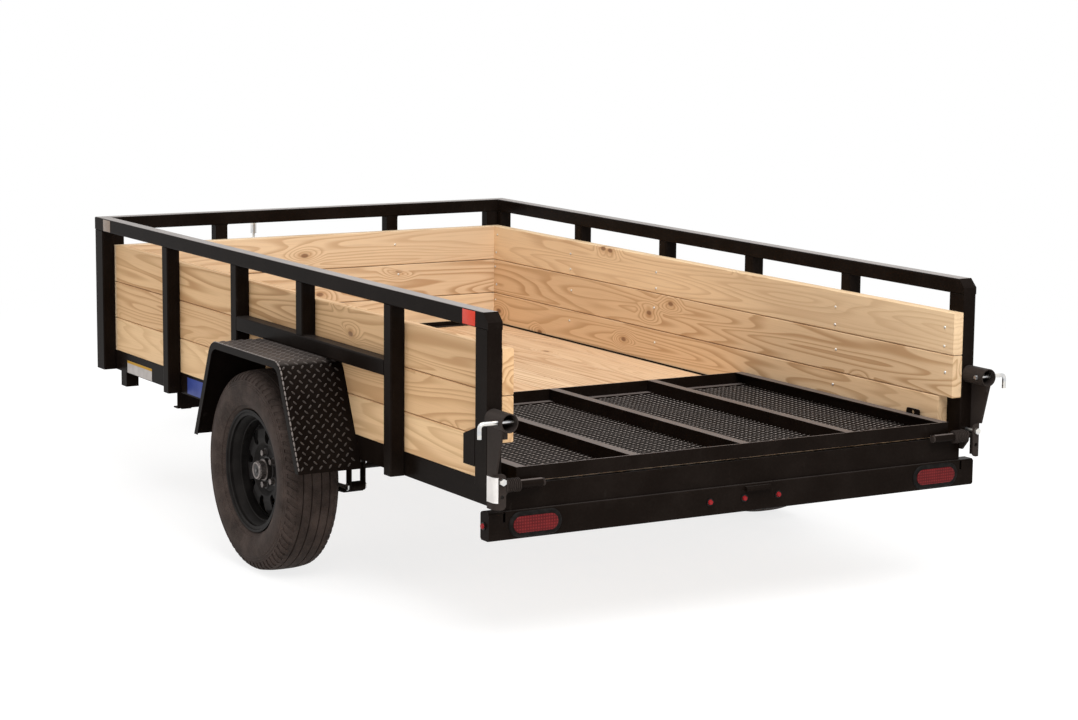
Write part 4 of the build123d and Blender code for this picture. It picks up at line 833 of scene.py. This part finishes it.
def expanded_mesh():
    """Expanded metal: one diamond of tilted strands, repeated both ways, trimmed to the ramp
    and given its thickness."""
    sheet = primitive("plane", size=1.0)
    edit(sheet)
    bpy.ops.transform.rotate(value=math.radians(45), orient_axis="Z", center_override=(0, 0, 0))
    diagonal = math.sqrt(2)
    bpy.ops.transform.resize(value=(CELL_LONG / diagonal, CELL_SHORT / diagonal, 1))
    bpy.ops.mesh.inset(thickness=STRAND_WIDTH, depth=0)
    bpy.ops.mesh.delete(type="FACE")
    # the strands lean: the rear edge of each opening is high and the front one low
    for end, rise in ((1, -STRAND_DROP), (-1, STRAND_RISE)):
        pick(sheet, lambda place: abs(place.x) < CELL_LONG * 0.2
             and 0 < place.y * end < CELL_SHORT * 0.47, points=True)
        bpy.ops.transform.translate(value=(0, 0, rise))
    leave()
    twin = sheet.copy()
    twin.data = sheet.data.copy()
    scene.collection.objects.link(twin)
    twin.data.transform(Matrix.Translation((CELL_LONG / 2, CELL_SHORT / 2, 0)))
    select_only(twin, sheet)
    bpy.ops.object.join()
    across = int(2 * MESH_HALF_X / CELL_LONG) + 3
    along = int((MESH_FRONT - MESH_REAR) / CELL_SHORT) + 3
    repeat(sheet, across, (CELL_LONG, 0, 0))
    repeat(sheet, along, (0, CELL_SHORT, 0))
    corner = Vector((-CELL_LONG * across / 2, (MESH_REAR + MESH_FRONT - CELL_SHORT * along) / 2,
                     MESH_LOW + STRAND_DROP))
    sheet.data.transform(Matrix.Translation(corner))
    edit(sheet, "VERT")
    bpy.ops.mesh.remove_doubles(threshold=0.0001)
    for place, normal in (((MESH_HALF_X, 0, 0), (1, 0, 0)), ((-MESH_HALF_X, 0, 0), (-1, 0, 0)),
                          ((0, MESH_FRONT, 0), (0, 1, 0)), ((0, MESH_REAR, 0), (0, -1, 0))):
        bpy.ops.mesh.select_all(action="SELECT")
        bpy.ops.mesh.bisect(plane_co=place, plane_no=normal, clear_outer=True)
    leave()
    modify(sheet, "SOLIDIFY", thickness=STRAND_THICK, offset=1.0)
    settle(sheet)
    finish(sheet, "ramp_mesh", mesh_black, "gate", 30)
    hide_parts("gate_mesh")


expanded_mesh()


# ---- screws
# heights of the screws in each side board; the lowest board has none behind the ramp's hinge
SCREW_LEVELS = ((0.5895, ), (0.7195, ), (0.8020, 0.8640))
# Y of the screws at the posts of each side, then Y and heights of those in the front corners
SCREW_ROWS = {"left": (-2.0834, -1.4799, -0.3081, 0.3091),
              "right": (-2.0834, -1.4799, -0.3331, 0.2869)}
CORNER_SCREWS, CORNER_LEVELS = 0.895, (0.5380, 0.6060, 0.6760, 0.7450, 0.8100, 0.8900)
# X of the front posts, and heights of their screws
FRONT_POSTS = (-0.402, 0.367)
FRONT_LEVELS = (0.5930, 0.7350, 0.8680)
SCREW_RADIUS, SCREW_SINK, SCREW_DRIFT = 0.0052, 0.0001, 0.004
# each step of a screw's head: rise and scale
HEAD_STEPS = ((0.0008, 1.0), (0.0012, 0.84), (0.0006, 0.62), (0.0, 0.62), (-0.0014, 0.72))


def screw_head():
    """A low pan head with a recess, seat down."""
    head = primitive("circle", vertices=10, radius=SCREW_RADIUS, fill_type="NGON")
    edit(head)
    for rise, scale in HEAD_STEPS:
        extrude((0, 0, rise))
        bpy.ops.transform.resize(value=(scale, scale, 1))
    settle(head)
    return head


def wall_screws():
    """The wood screws that hold the side and front boards to their posts."""
    places = []

    def drive(place, normal, along, k):
        """One screw, a few millimetres off its mark."""
        shift = SCREW_DRIFT * ((k * 3) % 5 - 2)
        places.append(facing(Vector(place) + Vector(along) * shift + Vector((0, 0, shift / 2)),
                             normal, (*along[:2], 0.3)))

    for side_name, side in SIDES:
        inner = side * (BOARD_INNER - SCREW_SINK)
        for k, y in enumerate(SCREW_ROWS[side_name]):
            for level, heights in enumerate(SCREW_LEVELS):
                for z in heights if (level or k) else ():
                    drive((inner, y, z), (-side, 0, 0), (0, 1, 0), k + 4 * level)
        for k, z in enumerate(CORNER_LEVELS):
            drive((inner, CORNER_SCREWS, z), (-side, 0, 0), (0, 1, 0), k)
    for k, x in enumerate(FRONT_POSTS):
        for level, z in enumerate(FRONT_LEVELS):
            drive((x, FRONT_BOARD_INNER - SCREW_SINK, z), (0, -1, 0), (1, 0, 0), k + 2 * level)
    finish(copies(screw_head(), places), "wall_screws", zinc, "frame", 40)


# ---- welds
# Y of the full posts, and of the short post over the wheel that stands on the fender's brace
FULL_POSTS = {"left": (-1.4799, -0.3081, 0.3091), "right": (-1.4799, -0.3211, 0.3026)}
SHORT_POSTS = {"left": -0.8395, "right": -0.8955}
BRACE_TOP = 0.800
CORNER_POST, FRONT_POST_Y = 0.8448, 0.9771
WELD_RADIUS, WELD_LENGTH, RIPPLE = 0.0026, 0.046, 0.0036
# stitches along the inner side of the right fender's top, in line with the posts' outer faces:
# Y of the first one, their pitch and number, and how far out they stand
STITCH_START, STITCH_PITCH, STITCHES, STITCH_LIFT = -1.036, 0.045, 12, 0.0004


def weld_bead(length):
    """A fillet weld of overlapping ripples along X, centred on the origin."""
    count = max(3, int(length / RIPPLE))
    pitch = length / count
    bead = primitive("cylinder", vertices=8, radius=WELD_RADIUS, depth=pitch,
                     end_fill_type="NOTHING", rotation=(0, math.radians(90), 0))
    edit(bead, "EDGE")
    bpy.ops.mesh.subdivide(number_cuts=1)
    bpy.ops.mesh.select_mode(type="VERT")
    pick(bead, lambda place: abs(place.x) < pitch * 0.1, points=True)
    bpy.ops.transform.resize(value=(1, 1.28, 1.28))
    leave()
    repeat(bead, count, (pitch, 0, 0), use_merge_vertices=True, merge_threshold=0.0001)
    bead.data.transform(Matrix.Translation((-(count - 1) * pitch / 2, 0, 0)))
    edit(bead, "VERT")
    for end in (-1, 1):
        pick(bead, lambda place: place.x * end > length / 2 - 0.0004, points=True)
        bpy.ops.mesh.edge_face_add()
        bpy.ops.transform.resize(value=(1, 0.5, 0.5))
    settle(bead)
    return bead


def frame_welds():
    """Welds where the posts meet the top rail and the brace, and along the right fender."""
    places = []
    for side_name, side in SIDES:
        middle = side * (POST_OUTER + POST_INNER) / 2
        for y in (*FULL_POSTS[side_name], SHORT_POSTS[side_name]):
            for face in (-1, 1):
                edge = y + face * POST_HALF
                places.append(facing((middle, edge, TOP_RAIL_LOW), (0, face, -1), (1, 0, 0)))
                if y == SHORT_POSTS[side_name]:
                    places.append(facing((middle, edge, BRACE_TOP), (0, face, 1), (1, 0, 0)))
    for x in (*FRONT_POSTS, -CORNER_POST, CORNER_POST):
        for face in (-1, 1):
            places.append(facing((x + face * POST_HALF, FRONT_POST_Y, TOP_RAIL_LOW),
                                 (face, 0, -1), (0, 1, 0)))
    for k in range(STITCHES):
        places.append(facing((POST_OUTER + STITCH_LIFT, STITCH_START + STITCH_PITCH * k,
                              FENDER_TOP), (1, 0, 1), (0, 1, 0)))
    finish(copies(weld_bead(WELD_LENGTH), places), "post_welds", black, "frame", 50)


wall_screws()
frame_welds()


# ---- edge strips of the floor
STRIP_REAR, STRIP_FRONT, STRIP_HALF = -2.045, 0.9132, 0.8272
UPSTAND_BACK, UPSTAND_FACE = 0.9104, 0.9134


def edge_strip(name, low, high):
    """A thin black strip from corner to corner, its long edges eased."""
    strip = slab([b - a for a, b in zip(low, high)], [(a + b) / 2 for a, b in zip(low, high)])
    modify(strip, "BEVEL", width=0.0007, segments=2, limit_method="ANGLE")
    finish(strip, name, black, "frame", 30)


# the strips along the foot of the side walls are a dark sheet where there is a shadowed gap:
# painted shadow
for side_name, side in SIDES:
    inner, outer = sorted((side * (BOARD_INNER - 0.0045), side * (BOARD_INNER - 0.0002)))
    edge_strip("floor_edge_" + side_name, (inner, STRIP_REAR, FLOOR_TOP - 0.0004),
               (outer, STRIP_FRONT, FLOOR_TOP + 0.0065))
edge_strip("floor_front_flange", (-STRIP_HALF, 0.8830, FLOOR_TOP - 0.0004),
           (STRIP_HALF, UPSTAND_FACE, FLOOR_TOP + 0.0028))
edge_strip("floor_front_upstand", (-STRIP_HALF, UPSTAND_BACK, FLOOR_TOP + 0.0026),
           (STRIP_HALF, UPSTAND_FACE, FLOOR_TOP + 0.0200))


# ---- reflectors and blank labels
# centre and size along Y and Z
REAR_TAPE = ((-2.0065, TOP_RAIL_MIDDLE), (0.077, 0.0445))
FRONT_TAPE = ((0.879, TOP_RAIL_MIDDLE), (0.071, 0.0445))
BADGE = ((0.073, 0.4685), (0.300, 0.061))
LABEL = ((0.688, 0.4580), (0.246, 0.048))
LABEL_STRIPE = (LABEL[0][1] + 0.014, LABEL[0][1] + 0.024)
FILM_THICK, FILM_LIFT = 0.0009, 0.0003
# the label on the left hinge bracket: where its flat part starts and its bend begins along Y,
# the bend's radius and turn, and its lower and upper edges
BRACKET_START, BRACKET_BEND, BRACKET_RADIUS, BRACKET_TURN = -2.1214, -2.1515, 0.0223, 60
BRACKET_LOW, BRACKET_HIGH = 0.468, 0.545


def patch(name, side, face, place, material):
    """A thin patch on an outer face, its edge let down; place is its centre and size."""
    centre, size = place
    sheet = slab((FILM_THICK, *size))
    modify(sheet, "BEVEL", width=0.0004, segments=2, limit_method="ANGLE")
    sheet.data.transform(Matrix.Translation((side * (face + FILM_LIFT), *centre)))
    finish(sheet, name, material, "frame", 30)


def bracket_label():
    """A blank white label on the left hinge bracket's outer face, bent round its rear corner."""
    face = -POST_OUTER - FILM_LIFT
    centre = Vector((face + BRACKET_RADIUS, BRACKET_BEND, BRACKET_LOW))
    turns = [math.radians(turn) for turn in range(0, BRACKET_TURN + 1, 12)]
    track = [Vector((face, BRACKET_START, BRACKET_LOW))]
    track += [centre - BRACKET_RADIUS * Vector((math.cos(turn), math.sin(turn), 0))
              for turn in turns]
    sheet = drawn_line(track)
    extrude((0, 0, BRACKET_HIGH - BRACKET_LOW))
    leave()
    modify(sheet, "SOLIDIFY", thickness=0.0003, offset=0.0)
    settle(sheet)
    finish(sheet, "blank_bracket_label", label_paper("bracket_label_white", (0.80, 0.77, 0.75)),
           "frame", 40)


for side_name, side in SIDES:
    patch("rear_reflector_" + side_name, side, POST_OUTER, REAR_TAPE, red_tape)
    patch("front_reflector_" + side_name, side, POST_OUTER, FRONT_TAPE, amber_tape)
patch("blank_badge", -1, RAIL_FACE, BADGE, label_paper("badge_blue", (0.030, 0.055, 0.26)))
patch("blank_label", -1, RAIL_FACE, LABEL,
      label_paper("label_white", (0.52, 0.48, 0.46), (0.50, 0.27, 0.02), LABEL_STRIPE))
bracket_label()


# ---- floor, light, camera
WHITE = (1, 1, 1, 1)
FLOOR_GLOW, SHADE_SHARE = 0.80, 0.28        # the floor's own white, and how much shade can take
FADE_START, FADE_END = 3.2, 6.0             # distance over which the floor fades into white
AMBIENT, AMBIENT_STRENGTH = (1.0, 0.985, 0.965, 1), 0.56
# name, place, aim, size, watts
LIGHTS = (("key_light", (-1.0, -5.5, 6.0), (0, -0.4, 0.4), (5.0, 4.0), 400),
          ("fill_light", (-7.5, 0.5, 3.2), (0, 0, 0.5), (4.0, 3.0), 62),
          ("top_light", (0.5, 0.5, 7.0), (0, 0, 0), (7.0, 7.0), 170))
# the eye: its X, how far it is behind the rear of the side rail (Y), and its Z
EYE_X, EYE_BACK, EYE_Z = -4.77449, 6.78302, 2.10348
YAW, PITCH, ROLL = 0.536, 0.154, 0.009      # radians
SENSOR, FOCAL_SHARE = 36.0, 2685.08 / 1078  # sensor's width in mm, focal length over that width


def seen_rays(wire):
    """1 for rays from the camera, and for those that reflections and clear parts pass on."""
    rays = wire.tree.nodes.new("ShaderNodeLightPath")
    camera, gloss, clear = (Wire(wire.tree, rays.outputs["Is " + kind + " Ray"])
                            for kind in ("Camera", "Glossy", "Transmission"))
    return camera.math("MAXIMUM", camera.math("MAXIMUM", camera, gloss), clear)


def empty_tree(owner, output):
    """Clear the nodes of a material or world, and add its output: a wire and the output."""
    owner.use_nodes = True
    tree = owner.node_tree
    tree.nodes.clear()
    return Wire(tree), tree.nodes.new("ShaderNode" + output)


def plain_floor():
    """Pale ground that fades into a white backdrop and keeps the trailer's shadow."""
    select_only()
    bpy.ops.mesh.primitive_plane_add(size=120.0, location=(0, 0, 0))
    ground = bpy.context.object
    ground.name = "studio_floor"
    material = bpy.data.materials.new("studio_floor")
    wire, output = empty_tree(material, "OutputMaterial")
    point = wire.node("TexCoord", {}, {}, out="Object")
    far = point.length().step(FADE_START, FADE_END)
    pale = wire.node("BsdfDiffuse", {}, {0: (0.84, 0.835, 0.825, 1)})
    lit = wire.node("Emission", {}, {0: WHITE, 1: FLOOR_GLOW})
    soft = wire.node("BsdfDiffuse", {}, {0: (SHADE_SHARE, SHADE_SHARE, SHADE_SHARE, 1)})
    kept = wire.node("AddShader", {}, {0: soft, 1: lit})
    white = wire.node("Emission", {}, {0: WHITE, 1: 1.0})
    seen = wire.node("MixShader", {}, {0: far, 1: kept, 2: white})
    both = wire.node("MixShader", {}, {0: seen_rays(wire), 1: pale, 2: seen})
    wire.tree.links.new(both.socket, output.inputs[0])
    ground.data.materials.append(material)


def area_light(name, place, aim, size, watts):
    """A soft rectangular light at a place, turned to what it lights."""
    lamp = bpy.data.lights.new(name, "AREA")
    lamp.shape = "RECTANGLE"
    lamp.size, lamp.size_y = size
    lamp.energy = watts
    holder = bpy.data.objects.new(name, lamp)
    scene.collection.objects.link(holder)
    holder.location = place
    away = Vector(aim) - Vector(place)
    holder.rotation_euler = away.to_track_quat("-Z", "Y").to_euler()


def studio():
    """Soft ambient light in front of a backdrop that is seen as white, and the three lights."""
    world = bpy.data.worlds.new("studio")
    scene.world = world
    wire, output = empty_tree(world, "OutputWorld")
    ambient = wire.node("Background", {}, {0: AMBIENT, 1: AMBIENT_STRENGTH})
    white = wire.node("Background", {}, {0: WHITE, 1: 1.0})
    mixed = wire.node("MixShader", {}, {0: seen_rays(wire), 1: ambient, 2: white})
    wire.tree.links.new(mixed.socket, output.inputs[0])
    for light in LIGHTS:
        area_light(*light)
    scene.view_settings.view_transform = "Standard"


def rear_left_camera():
    """The camera stands behind and left of the trailer, above eye height."""
    eye = Vector((EYE_X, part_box("side_rail_left")[0][1] - EYE_BACK, EYE_Z))
    ahead = Vector((math.sin(YAW) * math.cos(PITCH), math.cos(YAW) * math.cos(PITCH),
                    -math.sin(PITCH)))
    right = Vector((math.cos(YAW), -math.sin(YAW), 0))
    up = right.cross(ahead)
    right, up = (math.cos(ROLL) * right + math.sin(ROLL) * up,
                 math.cos(ROLL) * up - math.sin(ROLL) * right)
    camera = bpy.data.cameras.new("rear_left_camera")
    camera.sensor_width = SENSOR
    camera.lens = SENSOR * FOCAL_SHARE
    camera.clip_end = 200.0
    holder = bpy.data.objects.new("rear_left_camera", camera)
    turn = Matrix((right, up, -ahead)).transposed().to_4x4()
    holder.matrix_world = Matrix.Translation(eye) @ turn
    scene.collection.objects.link(holder)
    scene.camera = holder


plain_floor()
studio()
rear_left_camera()
